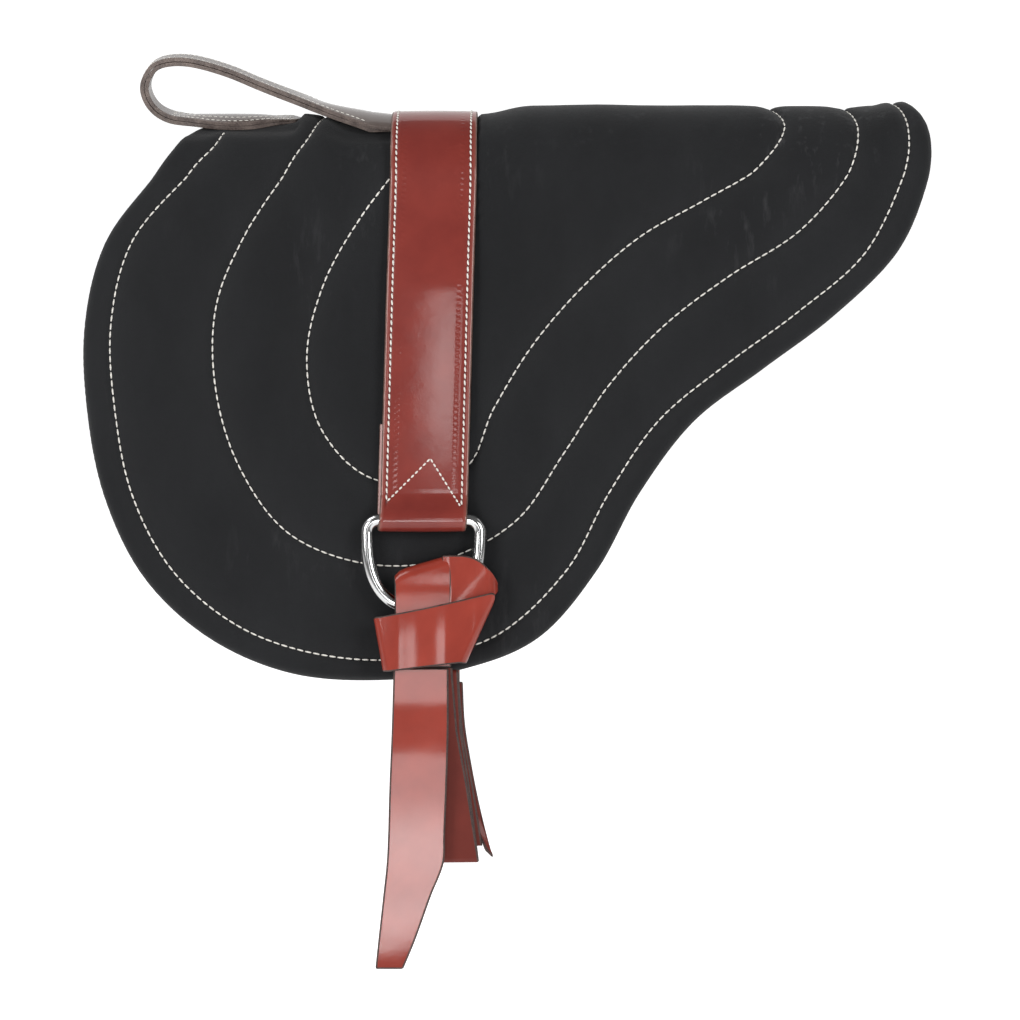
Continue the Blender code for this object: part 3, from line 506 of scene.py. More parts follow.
MIDDLE_ROW_SHARES = [
    (0.278, 0.0), (0.262, 0.070), (0.239, 0.120), (0.188, 0.238), (0.154, 0.367), (0.154, 0.505),
    (0.182, 0.638), (0.239, 0.750), (0.327, 0.802), (0.420, 0.797), (0.506, 0.731), (0.562, 0.617),
    (0.615, 0.501), (0.680, 0.399), (0.756, 0.315), (0.838, 0.239), (0.895, 0.145), (0.912, 0.073),
    (0.901, 0.0),
]
INNER_ROW_SHARES = [
    (0.425, 0.0), (0.376, 0.102), (0.322, 0.212), (0.281, 0.325), (0.261, 0.451), (0.279, 0.577),
    (0.343, 0.661), (0.443, 0.645), (0.481, 0.538), (0.527, 0.430), (0.585, 0.332), (0.652, 0.247),
    (0.728, 0.184), (0.793, 0.128), (0.825, 0.068), (0.811, 0.0),
]
HEART_SHARES = [(0.530, 0.0), (0.500, 0.200), (0.400, 0.450)]
HANDLE_SHARES = [
    (0.084, -0.008, 1.30), (0.257, 0.108, 0.60), (0.390, 0.255, 0.15), (0.522, 0.428, 0.0),
    (0.657, 0.624, 0.0), (0.790, 0.757, 0.0), (0.885, 0.775, 0.0), (0.952, 0.695, 0.0),
    (0.990, 0.470, 0.0), (0.983, 0.262, 0.0), (0.948, 0.090, 0.0), (0.896, -0.010, 0.10),
    (0.840, -0.038, 0.35), (0.770, -0.036, 0.70), (0.710, -0.035, 0.90), (0.630, -0.035, 1.0),
]

RIDGE_TURN = math.pi / 2 - FLAP_SPLAY
RIDGE_REACH = RIDGE_RADIUS * RIDGE_TURN
HALF_STRAP = STRAP_WIDTH / 2
STRAP_FLOOR_TOP = STRAP_SEAT + FIT_GAP + HANDLE_PLY + FIT_GAP
STRAP_FLOOR = CROWN + FIT_GAP
STRAP_LEAN = STRAP_DRIFT / (SEWN_LENGTH + STRAP_HANG - RIDGE_REACH)
PADDLE_MIDDLE = PADDLE_SEAT + FIT_GAP + HANDLE_PLY + FIT_GAP / 2
print("pad:", PAD_LENGTH, "m long,", FLAP_DROP, "m from spine to hem")

# %% [markdown]
# ## Curves and places
# The rows are smooth curves through a few points. Each is cut into the same number of steps,
# with the same step always at the edge of the ridge, so that neighbouring rows can be joined
# by a grid.

# %% Curves and places
RIDGE_STEPS = 14
FLAP_STEPS = 420
CURVE_STEPS = 40
FINE_STEPS = 240


def lerp(start, end, share):
    return start + (end - start) * share


def clamp(value):
    return min(max(value, 0.0), 1.0)


def smooth(share):
    share = clamp(share)
    return share * share * (3.0 - 2.0 * share)


def eased(table, spot):
    """The value at a spot in a table of (spot, value), with a soft step between its rows."""
    for (low, one), (high, two) in zip(table, table[1:]):
        if spot <= high:
            return lerp(one, two, smooth((spot - low) / (high - low)))
    return table[-1][1]


def soft_min(first, second, reach):
    near = max(reach - abs(first - second), 0.0) / reach
    return min(first, second) - near * near * reach / 4.0


def smooth_line(points, steps):
    """Points along a Catmull-Rom curve that runs through the given ones."""
    padded = [points[0] * 2 - points[1], *points, points[-1] * 2 - points[-2]]
    line = []
    for a, b, c, d in zip(padded, padded[1:], padded[2:], padded[3:]):
        for step in range(steps):
            t = step / steps
            line.append(0.5 * (b * 2 + (c - a) * t + (a * 2 - b * 5 + c * 4 - d) * t * t
                               + (b * 3 - a - c * 3 + d) * t * t * t))
    line.append(points[-1].copy())
    return line


def run_lengths(line):
    lengths = [0.0]
    for start, end in zip(line, line[1:]):
        lengths.append(lengths[-1] + (end - start).length)
    return lengths


def walk(lengths, distances):
    """The step of a line, and the share of that step, that each distance along it falls in."""
    spot = 0
    for wanted in distances:
        while spot < len(lengths) - 2 and lengths[spot + 1] < wanted:
            spot += 1
        yield spot, (wanted - lengths[spot]) / (lengths[spot + 1] - lengths[spot])


def even_points(line, count):
    """The line's points at count equal steps of its length, both ends included."""
    lengths = run_lengths(line)
    distances = [lengths[-1] * step / count for step in range(count + 1)]
    return [line[spot].lerp(line[spot + 1], share) for spot, share in walk(lengths, distances)]


def at_level(line, level):
    """The place where a row crosses a distance w from the spine."""
    for start, end in zip(line, line[1:]):
        low, high = min(start.y, end.y), max(start.y, end.y)
        if low <= level <= high and high > low:
            return start.lerp(end, (level - start.y) / (end.y - start.y))
    return min(line, key=lambda point: abs(point.y - level)).copy()


def flat_line(shares, steps=CURVE_STEPS):
    corners = [Vector((x * PAD_LENGTH - SURCINGLE_PLACE, w * FLAP_DROP)) for x, w in shares]
    return smooth_line(corners, steps)


def ridge_points(line):
    """Where a row crosses the ridge's levels, from the spine down."""
    return [at_level(line, step * RIDGE_REACH / RIDGE_STEPS) for step in range(RIDGE_STEPS + 1)]


def flap_ends(line):
    """The first and the last step of a row that lie below the ridge."""
    below = [k for k, point in enumerate(line) if point.y >= RIDGE_REACH]
    return below[0], below[-1]


def pad_row(shares):
    line = flat_line(shares)
    first, last = flap_ends(line)
    front = ridge_points(line[:first + 1])
    rear = ridge_points(line[last:])[::-1]
    flap = even_points([front[-1], *line[first:last + 1], rear[0]], FLAP_STEPS)
    return front[:-1] + flap + rear[1:]


def heart_row():
    """The line that the innermost lobe closes on, out and back."""
    line = flat_line(HEART_SHARES)
    first = flap_ends(line)[0]
    ridge = ridge_points(line[:first + 1])
    outward = ridge[:-1] + even_points([ridge[-1], *line[first:]], FLAP_STEPS // 2)
    return outward + outward[-2::-1]


def crest_rise(x, w):
    """How far the pad lies above the level that its crest has under the surcingle."""
    front_share = 1.0 - smooth((x - HALF_STRAP) / RISE_RUN)
    return REAR_RISE * (1.0 - front_share * max(0.0, 1.0 - w / SEWN_LENGTH))


def section_point(w, height):
    turn = min(w / RIDGE_RADIUS, RIDGE_TURN)
    down = max(w - RIDGE_REACH, 0.0)
    out = (RIDGE_RADIUS + height) * math.sin(turn) + down * math.sin(FLAP_SPLAY)
    level = (RIDGE_RADIUS + height) * math.cos(turn) - RIDGE_RADIUS - down * math.cos(FLAP_SPLAY)
    return out, level


def pad_point(x, w, height, side):
    out, level = section_point(w, height)
    return Vector((x, side * out, level + crest_rise(x, w)))


edge_row = pad_row(EDGE_SHARES)
outer_row = pad_row(OUTER_ROW_SHARES)
middle_row = pad_row(MIDDLE_ROW_SHARES)
inner_row = pad_row(INNER_ROW_SHARES)
lobe_row = heart_row()
print("quilted rows in m:", [round(run_lengths(row)[-1], 3)
                              for row in (outer_row, middle_row, inner_row)])

# %% [markdown]
# ## Grids that are bent into shape
# Most pieces start as a flat grid whose points are then placed by a rule. The grid also gets a
# UV map in metres, so that grain keeps its scale. A leather ply is such a grid given its
# thickness, with its cut edges in their own finish and rounded by a small bevel.

# %% Grid and strip helpers
MERGE_DISTANCE = 0.00002
ROW_DEPTH = 0.00030
ROUNDING = 0.0009


def bent_grid(shape, along, across, place, uv):
    """Add a grid to the bmesh, its points put by place(i, j) and its UVs by uv(i, j)."""
    layers = shape.loops.layers.uv
    layer = layers.get("UVMap") or layers.new("UVMap")
    made = bmesh.ops.create_grid(shape, x_segments=along, y_segments=across, size=1.0)
    spots = {}
    for vert in made["verts"]:
        spot = (round((vert.co.x + 1.0) / 2.0 * along), round((vert.co.y + 1.0) / 2.0 * across))
        spots[vert] = spot
        vert.co = place(*spot)
    for face in {face for vert in made["verts"] for face in vert.link_faces}:
        for loop in face.loops:
            loop[layer].uv = uv(*spots[loop.vert])
    return spots


def finish_piece(name, shape, finishes, sharp=math.radians(40.0)):
    mesh = bpy.data.meshes.new(name)
    shape.to_mesh(mesh)
    shape.free()
    mesh.shade_smooth()
    mesh.set_sharp_from_angle(angle=sharp)
    for finish in finishes:
        mesh.materials.append(finish)
    return add_to_scene(name, mesh)


def close_seams(shape):
    """Join the grids of a closed piece where they meet and turn its faces outwards."""
    bmesh.ops.remove_doubles(shape, verts=shape.verts, dist=MERGE_DISTANCE)
    bmesh.ops.recalc_face_normals(shape, faces=shape.faces)


def middles_of(stations):
    return [(left + right) / 2 for left, right in stations]


def strip_normals(stations):
    """The way that the strip's face looks at each station."""
    middles = middles_of(stations)
    runs = [after - before for before, after in zip([middles[0], *middles],
                                                    [*middles[1:], middles[-1]])]
    return [run.cross(right - left).normalized() for run, (left, right) in zip(runs, stations)]


def strip(name, stations, thickness, finishes, across=8, crown=0.0, rounding=ROUNDING):
    """A ply of leather from pairs of edge points, left and right as seen from its face."""
    lengths = run_lengths(middles_of(stations))
    faces_out = strip_normals(stations)
    shape = bmesh.new()

    def place(i, j):
        share = j / across
        rise = crown * (1.0 - (2.0 * share - 1.0) ** 2)
        return stations[i][0].lerp(stations[i][1], share) + faces_out[i] * rise

    def uv(i, j):
        left, right = stations[i]
        return ((right - left).length * (j / across - 0.5), lengths[i])

    bent_grid(shape, len(stations) - 1, across, place, uv)
    piece = finish_piece(name, shape, finishes)
    thicken(piece, thickness, rounding)
    return piece


def thicken(piece, thickness, rounding=ROUNDING):
    """Give a sheet its thickness, its cut edges their own finish and a small rounding."""
    solid = piece.modifiers.new("Thickness", "SOLIDIFY")
    solid.thickness = thickness
    solid.offset = 0.0
    solid.use_even_offset = True
    solid.material_offset_rim = 1
    soft = piece.modifiers.new("Rubbed edges", "BEVEL")
    soft.width = rounding
    soft.segments = 3
    soft.use_clamp_overlap = False
    soft.material = 1
    soft.limit_method = "ANGLE"
    soft.angle_limit = math.radians(50.0)
    soft.harden_normals = True


def swept_ply(name, stations, profile, finishes, dips, grain=(0.0, 1.0)):
    """A ply whose closed profile of (across, height, is edge, dip) follows the stations.

    Each station's dip says how deep the creases under the stitches are there."""
    middles = middles_of(stations)
    lengths = run_lengths(middles)
    faces_out = strip_normals(stations)
    around = len(profile)
    start, way = grain
    shape = bmesh.new()
    seam = shape.verts.layers.float.new("seam")

    def place(i, j):
        across, height, is_edge, dip = profile[j % around]
        left, right = stations[i]
        height -= dip * dips[i] * ROW_DEPTH
        return middles[i] + (right - left).normalized() * across + faces_out[i] * height

    def uv(i, j):
        return profile[j % around][0] * way, (start + lengths[i]) * way

    spots = bent_grid(shape, len(stations) - 1, around, place, uv)
    # The seam layer marks the creases, which the strap finish darkens as painted shade.
    for vert, (i, j) in spots.items():
        vert[seam] = profile[j % around][3] * dips[i]
    for face in shape.faces:
        columns = {spots[vert][1] for vert in face.verts}
        face.material_index = int(all(profile[j % around][2] for j in columns))
    bmesh.ops.remove_doubles(shape, verts=shape.verts, dist=MERGE_DISTANCE)
    bmesh.ops.holes_fill(shape, edges=[edge for edge in shape.edges if edge.is_boundary])
    bmesh.ops.recalc_face_normals(shape, faces=shape.faces)
    return finish_piece(name, shape, finishes, sharp=math.radians(60.0))


# %% [markdown]
# ## Stitches
# A stitch is a short length of thread that dives into the leather at both ends, so each is a
# small sphere drawn out along the row and flattened a little. One long curve could be the
# thread, but it would need a point at every hole. Rows that belong together are joined into
# one piece.

# %% Stitch helpers
THREAD_RADIUS = 0.00078
STITCH_SIDES = 8
STITCH_RINGS = 4
STITCH_BATCH = 40
STITCH_FLATNESS = 0.85
STITCH_WOBBLE = 0.06
WOBBLE_SCALE = 900.0


def stitch_spots(line, pitch, slant=0.0):
    """Evenly spaced places on a line of (point, normal) pairs, each with its tangent."""
    lengths = run_lengths([point for point, normal in line])
    count = max(int(lengths[-1] / pitch), 1)
    spots = []
    for spot, share in walk(lengths, [lengths[-1] * (k + 0.5) / count for k in range(count)]):
        (start, start_normal), (end, end_normal) = line[spot:spot + 2]
        place = start.lerp(end, share)
        normal = start_normal.lerp(end_normal, share).normalized()
        wobble = slant + STITCH_WOBBLE * noise.noise(place * WOBBLE_SCALE)
        run = Matrix.Rotation(wobble, 3, normal) @ (end - start).normalized()
        spots.append((place, run, normal))
    return spots


def sew(name, spots, length, radius=THREAD_RADIUS):
    """One piece of all the stitches, made a batch at a time because an operator reads it all."""
    row = bmesh.new()
    for first in range(0, len(spots), STITCH_BATCH):
        batch = bmesh.new()
        for place, run, normal in spots[first:first + STITCH_BATCH]:
            beside = normal.cross(run).normalized()
            depth = radius * STITCH_FLATNESS
            turned = Matrix((beside * radius, normal * depth, run * length / 2))
            long_way = turned.transposed().to_4x4()
            long_way.translation = place
            bmesh.ops.create_uvsphere(batch, u_segments=STITCH_SIDES, v_segments=STITCH_RINGS,
                                      radius=1.0, matrix=long_way)
        bmesh.ops.recalc_face_normals(batch, faces=batch.faces)
        sewn = bpy.data.meshes.new("batch")
        batch.to_mesh(sewn)
        batch.free()
        row.from_mesh(sewn)
        bpy.data.meshes.remove(sewn)
    return finish_piece(name, row, [thread], sharp=math.pi)


# %% [markdown]
# ## The pad
# The cover is one grid for each half, from the edge in to the middle lobe. Its height over the
# underside comes from the distance to the nearest quilted row: drawn down in a narrow groove
# at the stitches, swelling to the full crown between rows, and rolled over at the edge. Slow
# noise makes the felt uneven, quick noise near the rows makes the puckers, and the surcingle
# and the handle's paddle press it flat.

# %% The pad's surface
EDGE_ROLL = 0.0105
EDGE_HEIGHT = LINING_THICKNESS + FIT_GAP + COVER_THICKNESS
PUFF_RUN = 0.0065
GROOVE_RUN = 0.0016
GROOVE_DEPTH = 0.0011
PUCKER_RUN = 0.009
PUCKER_DEPTH = 0.00154
PUCKER_SCALE = 95.0
HOLLOW_DEPTH = 0.0016
HOLLOW_SCALE = 11.0
REAR_FLARE = 0.0048
FLARE_START = 0.350
FLARE_RUN = 0.018
FLARE_HALF = 0.060
PRESS_EASE = 0.0015
FRONT_EASE = 0.4
PADDLE_TIP = -HALF_STRAP - HANDLE_REACH * HANDLE_SHARES[-1][0] + PADDLE_RUN
PADDLE_ROOT = -0.165
PADDLE_ROOT_RUN = 0.02
PADDLE_SINK = 0.0020
PADDLE_HALF = 0.024
PADDLE_WALL = 2.0
TIP_RISE = 0.0012
TIP_RISE_START = 0.014
TIP_RISE_RUN = 0.012
TIP_MARGIN = 0.0025


def nearest_tree(*tables):
    points = [point for shares in tables for point in flat_line(shares, FINE_STEPS)]
    tree = kdtree.KDTree(len(points))
    for k, point in enumerate(points):
        tree.insert(point.to_3d(), k)
    tree.balance()
    return tree


quilt_tree = nearest_tree(OUTER_ROW_SHARES, MIDDLE_ROW_SHARES, INNER_ROW_SHARES)
edge_tree = nearest_tree(EDGE_SHARES)


def sewn_share(w):
    return smooth((w - RIDGE_REACH) / (SEWN_LENGTH - RIDGE_REACH))


def seat_height(x, w):
    """The height that the surcingle and the handle's front paddle press the pad down to."""
    beside_ply = smooth((w - PADDLE_WIDTH / 2) / PADDLE_SPREAD)
    seat = lerp(STRAP_SEAT, STRAP_FLOOR_TOP - FIT_GAP, beside_ply)
    seat = lerp(seat, SEAT_WALL, smooth((x - HALF_STRAP + SEAT_WALL_RUN / 2) / SEAT_WALL_RUN))
    beside = max(-x - HALF_STRAP - SEAT_SPREAD, (x - HALF_STRAP) * FRONT_EASE, 0.0)
    under_strap = lerp(seat, CROWN, sewn_share(w)) + beside * SEAT_SLOPE
    sunk = PADDLE_SINK * (1.0 + smooth((PADDLE_ROOT - x) / PADDLE_ROOT_RUN))
    under_tip = TIP_RISE * smooth((x - PADDLE_TIP + TIP_RISE_START) / TIP_RISE_RUN)
    behind_tip = max(x - PADDLE_TIP + TIP_MARGIN, 0.0) * PADDLE_WALL
    beside_paddle = max(w - PADDLE_HALF, 0.0) * SEAT_SLOPE
    return min(under_strap, PADDLE_SEAT - sunk + under_tip + behind_tip + beside_paddle)


def quilt_distance(x, w):
    return quilt_tree.find(Vector((x, w, 0.0)))[2]


def cover_height(x, w, side, in_rim):
    """The nubuck's height over the underside."""
    beside_row = quilt_distance(x, w)
    from_edge = edge_tree.find(Vector((x, w, 0.0)))[2]
    here = Vector((x, w * side, 0.0))
    puff = 1.0 - math.exp(-beside_row / PUFF_RUN)
    flare = REAR_FLARE * smooth((x - FLARE_START) / FLARE_RUN) * (1.0 - smooth(w / FLARE_HALF))
    hollow = clamp(0.5 + 0.9 * noise.fractal(here * HOLLOW_SCALE, 1.0, 2.0, 3))
    pucker = noise.noise(here * PUCKER_SCALE) * math.exp(-beside_row / PUCKER_RUN)
    top = lerp(QUILT, RIM_CROWN if in_rim else CROWN, puff) + flare
    top -= GROOVE_DEPTH * math.exp(-(beside_row / GROOVE_RUN) ** 2)
    top += (PUCKER_DEPTH * pucker - HOLLOW_DEPTH * hollow) * puff
    rolled = math.sqrt(1.0 - (1.0 - clamp(from_edge / EDGE_ROLL)) ** 2)
    return soft_min(lerp(EDGE_HEIGHT, top, rolled), seat_height(x, w), PRESS_EASE)


def row_shares(count):
    """Shares from one row to the next, crowded near both."""
    return [(1.0 - math.cos(math.pi * k / count)) / 2.0 for k in range(count)]


BAND_STEPS = (10, 16, 16, 26)
band_rows = (edge_row, outer_row, middle_row, inner_row, lobe_row)
cover_rows = []
for band, steps in enumerate(BAND_STEPS):
    for share in row_shares(steps):
        line = [a.lerp(b, share) for a, b in zip(band_rows[band], band_rows[band + 1])]
        cover_rows.append((line, band == 0))
cover_rows.append((lobe_row, False))
print("the cover has", len(cover_rows), "rows of", len(edge_row) - 1, "steps on each half")

# %% [markdown]
# ## Nubuck cover
# The cover is the skin that closes over the felt, so it is one closed piece: the quilted top,
# the flat underside and the cut rim between them. It could be sculpted, or inflated by a
# cloth simulation between fixed seams. The rule above gives the same puffs in one pass and
# keeps every row where the photograph shows it.

# %% Nubuck cover
LINING_ROWS = [row for row, in_rim in cover_rows[::3]] + [lobe_row]
LINING_TOP = LINING_THICKNESS + FIT_GAP


def dress(piece, body, slot, *nodes):
    """Let a body carry the piece and hide the solids that it stands for. The slot is not used."""
    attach(piece, body)
    if nodes:
        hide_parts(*nodes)


def add_sheet(shape, rows, place):
    """Add a grid over rows of (x, w), which are also its UVs."""
    bent_grid(shape, len(rows[0]) - 1, len(rows) - 1, place, lambda i, j: rows[j][i][:])


def add_cover():
    shape = bmesh.new()
    rows = [row for row, in_rim in cover_rows]
    for side in (NEAR, OFF):
        heights = [[cover_height(*spot, side, in_rim) for spot in row]
                   for row, in_rim in cover_rows]
        add_sheet(shape, rows, lambda i, j: pad_point(*rows[j][i], heights[j][i], side))
        add_sheet(shape, LINING_ROWS, lambda i, j: pad_point(*LINING_ROWS[j][i], LINING_TOP, side))
        add_sheet(shape, [edge_row, edge_row],
                  lambda i, j: pad_point(*edge_row[i], (LINING_TOP, heights[0][i])[j], side))
    close_seams(shape)
    return finish_piece("pad_cover", shape, [nubuck], sharp=math.radians(70.0))


def unrolled(point):
    """Roughly how far from the spine, along the underside, a point of the pad lies."""
    out = abs(point.y)
    turn = math.atan2(out, point.z + RIDGE_RADIUS)
    if turn < RIDGE_TURN:
        return turn * RIDGE_RADIUS
    down = Vector((math.sin(FLAP_SPLAY), -math.cos(FLAP_SPLAY)))
    start = Vector(section_point(RIDGE_REACH, 0.0))
    return RIDGE_REACH + (Vector((out, point.z - REAR_RISE)) - start).dot(down)


cover = add_cover()
# How near a quilted row each point lies; the nubuck paints a paler tone there, partly dust and
# partly painted highlight.
near_row = cover.data.attributes.new("seam", "FLOAT", "POINT")
for vert, mark in zip(cover.data.vertices, near_row.data):
    mark.value = math.exp(-quilt_distance(vert.co.x, unrolled(vert.co)) / PUCKER_RUN)
dress(cover, "pad", "nubuck", "nubuck_cover", "felt_core")
print("cover:", len(cover.data.polygons), "faces")

# %% [markdown]
# ## Lining
# The felt underneath is a plain sheet, drawn up a little where the quilting passes through.
# It could be part of the cover, but it is another material and a piece that is cut by itself.

# %% Lining
LINING_DRAW = 0.0008


def add_lining():
    shape = bmesh.new()
    for side in (NEAR, OFF):
        def place(i, j):
            x, w = LINING_ROWS[j][i]
            drawn = LINING_DRAW * math.exp(-(quilt_distance(x, w) / (GROOVE_RUN * 2)) ** 2)
            return pad_point(x, w, LINING_THICKNESS / 2 + drawn, side)

        add_sheet(shape, LINING_ROWS, place)
    close_seams(shape)
    lining = finish_piece("pad_lining", shape, [felt])
    solid = lining.modifiers.new("Thickness", "SOLIDIFY")
    solid.thickness = LINING_THICKNESS - FIT_GAP
    solid.offset = 0.0
    return lining


lining = add_lining()
dress(lining, "pad", "lining_felt", "felt_lining")
print("lining:", len(lining.data.polygons), "faces")

# %% [markdown]
# ## Quilting
# One thread goes through all the layers in three rows, and shows on both faces. A picture of
# stitches would look flat from near by, so each is a small body that stands on the cover.
# Where the surcingle or the handle lies on a row nobody sees it, and those stitches are
# left out.

# %% Quilting
QUILT_PITCH = 0.0064
QUILT_STITCH = 0.0056
TOP_LIFT = 0.0003
UNDER_LIFT = -0.0002
PADDLE_REAR = -0.205
HIDING_MARGIN = 0.001


def strap_middle(w):
    return -STRAP_LEAN * max(w - RIDGE_REACH, 0.0)


def under_leather(x, w):
    """Whether the surcingle or the handle's front paddle hides this place."""
    on_paddle = w < PADDLE_HALF and PADDLE_REAR < x < PADDLE_TIP
    inside = HALF_STRAP - HIDING_MARGIN - abs(x - strap_middle(w))
    return on_paddle or w < SEWN_LENGTH + STRAP_HANG and inside > 0.0


def quilt_line(row, side, height_of, lift):
    line = []
    for x, w in row:
        height = height_of(x, w, side)
        point = pad_point(x, w, height, side)
        up = (pad_point(x, w, height + CROWN, side) - point).normalized()
        line.append((point + up * lift, up))
    return line


def add_quilting(name, height_of, lift, hidden):
    spots = []
    for row in (outer_row, middle_row, inner_row):
        for side in (NEAR, OFF):
            seen = [spot for spot in row if not hidden(*spot)]
            runs = [[seen[0]]]
            for spot in seen[1:]:
                if (spot - runs[-1][-1]).length > QUILT_PITCH * 2:
                    runs.append([])
                runs[-1].append(spot)
            for run in runs:
                if len(run) > 2:
                    spots += stitch_spots(quilt_line(run, side, height_of, lift), QUILT_PITCH)
    quilting = sew(name, spots, QUILT_STITCH)
    dress(quilting, "pad", "nubuck")
    print(name, "has", len(spots), "stitches")


add_quilting("pad_quilting", lambda x, w, side: cover_height(x, w, side, False), TOP_LIFT,
             under_leather)
add_quilting("pad_quilting_under", lambda x, w, side: LINING_DRAW, UNDER_LIFT,
             lambda x, w: False)

# %% [markdown]
# ## Where the surcingle runs
# The surcingle goes over the crest, down both flaps and round the bars of the two rings. A
# curve with a bevel could draw it, but would twist on the way. Pairs of edge points, called
# stations here, say exactly where each edge lies, and other pieces can be measured from them.

# %% Strap stations
SIDE_NAMES = {NEAR: "near", OFF: "off"}
HINGE_BEND = 0.024
MEET = 0.100
STRAP_STEP = 0.004
TURN_BACK = 0.075
TURN_BACK_SHIFT = 0.0022
TURN_LEAD = 0.021
LEAD_STEPS = 10
BEND_STEPS = 16
BACK_STEPS = 8
WIRE_RADIUS = 0.005
RING_PLAY = 0.0004
BAR_OFFSET = WIRE_RADIUS + RING_PLAY - STRAP_PLY - FIT_GAP
STRAP_BEND = WIRE_RADIUS + RING_PLAY + STRAP_PLY / 2
OUTER_LIFT = STRAP_PLY * 1.5 + FIT_GAP
BACKING_LIFT = STRAP_PLY / 2


def down_of(side):
    return Vector((0.0, side * math.sin(FLAP_SPLAY), -math.cos(FLAP_SPLAY)))


def out_of(side):
    return Vector((0.0, side * math.cos(FLAP_SPLAY), math.sin(FLAP_SPLAY)))


def strap_hinge(side):
    return pivots[SIDE_NAMES[side] + "_strap_lift"]


def side_pair(x, point, side):
    """The left and right edge points, as seen from outside that side of the pad."""
    half = Vector((HALF_STRAP, 0.0, 0.0)) * -side
    place = Vector((x, point.y, point.z))
    return place - half, place + half


def sewn_station(w, lift, side):
    floor_height = lerp(STRAP_FLOOR_TOP, STRAP_FLOOR, sewn_share(w))
    return side_pair(strap_middle(w), pad_point(0.0, w, floor_height + lift, side), side)


def hanging_station(drop, out, side, shift=0.0):
    hinge = strap_hinge(side)
    point = hinge + down_of(side) * drop + out_of(side) * out
    return side_pair(hinge.x - STRAP_LEAN * drop + shift, point, side)


def arc(centre, radius, start, end, steps):
    return [centre + Vector((math.cos(turn), math.sin(turn))) * radius
            for turn in (lerp(start, end, step / steps) for step in range(steps + 1))]


def steps_between(start, end, step):
    count = max(round(abs(end - start) / step), 1)
    return [lerp(start, end, k / count) for k in range(count + 1)]


def crossing_stations(lift):
    """From the near side over the spine to the off side."""
    near = [sewn_station(w, lift, NEAR) for w in steps_between(MEET, 0.0, STRAP_STEP)]
    off = [sewn_station(w, lift, OFF) for w in steps_between(0.0, MEET, STRAP_STEP)]
    return [(right, left) for left, right in near[:-1]] + off


def hanging_stations(lift, out, side, end):
    """From the middle stretch down over the hinge, straight to the given drop."""
    sewn = [sewn_station(w, lift, side) for w in steps_between(MEET, SEWN_LENGTH, STRAP_STEP)]
    return sewn + [hanging_station(drop, out, side)
                   for drop in steps_between(STRAP_STEP, end, STRAP_STEP)]


def outer_stations(side):
    """Down the outside, round the ring's bar and back up behind."""
    outer = -STRAP_PLY / 2
    back = outer - STRAP_PLY - FIT_GAP
    stations = hanging_stations(OUTER_LIFT, outer, side, STRAP_HANG - TURN_LEAD)
    for step in range(1, LEAD_STEPS):
        share = step / LEAD_STEPS
        out = lerp(outer, BAR_OFFSET + STRAP_BEND, smooth(share))
        stations.append(hanging_station(STRAP_HANG - TURN_LEAD * (1.0 - share), out, side))
    bar = Vector((STRAP_HANG, BAR_OFFSET))
    for k, spot in enumerate(arc(bar, STRAP_BEND, math.pi / 2, -math.pi / 2, BEND_STEPS)):
        stations.append(hanging_station(*spot, side, -TURN_BACK_SHIFT * k / BEND_STEPS))
    for step in range(1, BACK_STEPS + 1):
        share = step / BACK_STEPS
        out = lerp(BAR_OFFSET - STRAP_BEND, back, smooth(share * 2.0))
        stations.append(hanging_station(STRAP_HANG - TURN_BACK * share, out, side,
                                        -TURN_BACK_SHIFT))
    return stations


print("each strap end has", len(outer_stations(NEAR)), "stations")

# %% [markdown]
# ## Surcingle
# Two plies cross the pad. Below, the outer ply turns back round the ring's bar. The outer
# ply could be a plain strip too, but its rubbed edges and the creases under the stitches
# catch the light, so a full profile is swept along the stations.

# %% Surcingle
STRAP_CROWN = 0.0005
ROW_INSET = 0.0048
ROW_END = STRAP_HANG - 0.0125
ROW_EASE = 0.004
EDGE_FALL = ((0.0, 0.0011), (0.0004, 0.0006), (0.0010, 0.0002), (0.0018, 0.0))
EDGE_RIM = 0.0011
ROW_DIP = ((-0.0011, 0.0), (-0.0005, 0.7), (0.0, 1.0), (0.0005, 0.7), (0.0011, 0.0))
FACE_INSETS = (0.008, 0.013, 0.019, 0.026)
BACK_TURN = 0.0006
BACK_FLAT = 0.6 * HALF_STRAP


def face_height(inset):
    """The strap's face over its middle, by the distance from the nearer edge."""
    share = inset / STRAP_WIDTH
    return STRAP_PLY / 2 + STRAP_CROWN * 4.0 * share * (1.0 - share)


def mirrored(points):
    return [(-across, *rest) for across, *rest in reversed(points)]


def strap_profile():
    """Face, rubbed edges and a crease for each stitched row, then the flat back."""
    low = -STRAP_PLY / 2
    face = [(inset - HALF_STRAP, face_height(inset) - fall, inset < EDGE_RIM, 0.0)
            for inset, fall in EDGE_FALL]
    face += [(ROW_INSET + step - HALF_STRAP, face_height(ROW_INSET), False, dip)
             for step, dip in ROW_DIP]
    face += [(inset - HALF_STRAP, face_height(inset), False, 0.0) for inset in FACE_INSETS]
    back = [(HALF_STRAP, low + BACK_TURN, True, 0.0), (HALF_STRAP - BACK_TURN, low, True, 0.0),
            (BACK_FLAT, low, False, 0.0)]
    middle = (0.0, face_height(HALF_STRAP), False, 0.0)
    return [*face, middle, *mirrored(face), *back, *mirrored(back)]


def row_dips(stations, side):
    """Full creases down to the chevron's feet, none on the fold and behind it."""
    dips = []
    for middle, normal in zip(middles_of(stations), strip_normals(stations)):
        drop = (middle - strap_hinge(side)).dot(down_of(side))
        on_face = normal.dot(out_of(side)) > 0.3 or drop < 0.0
        dips.append(on_face * (1.0 - smooth((drop - ROW_END) / ROW_EASE)))
    return dips


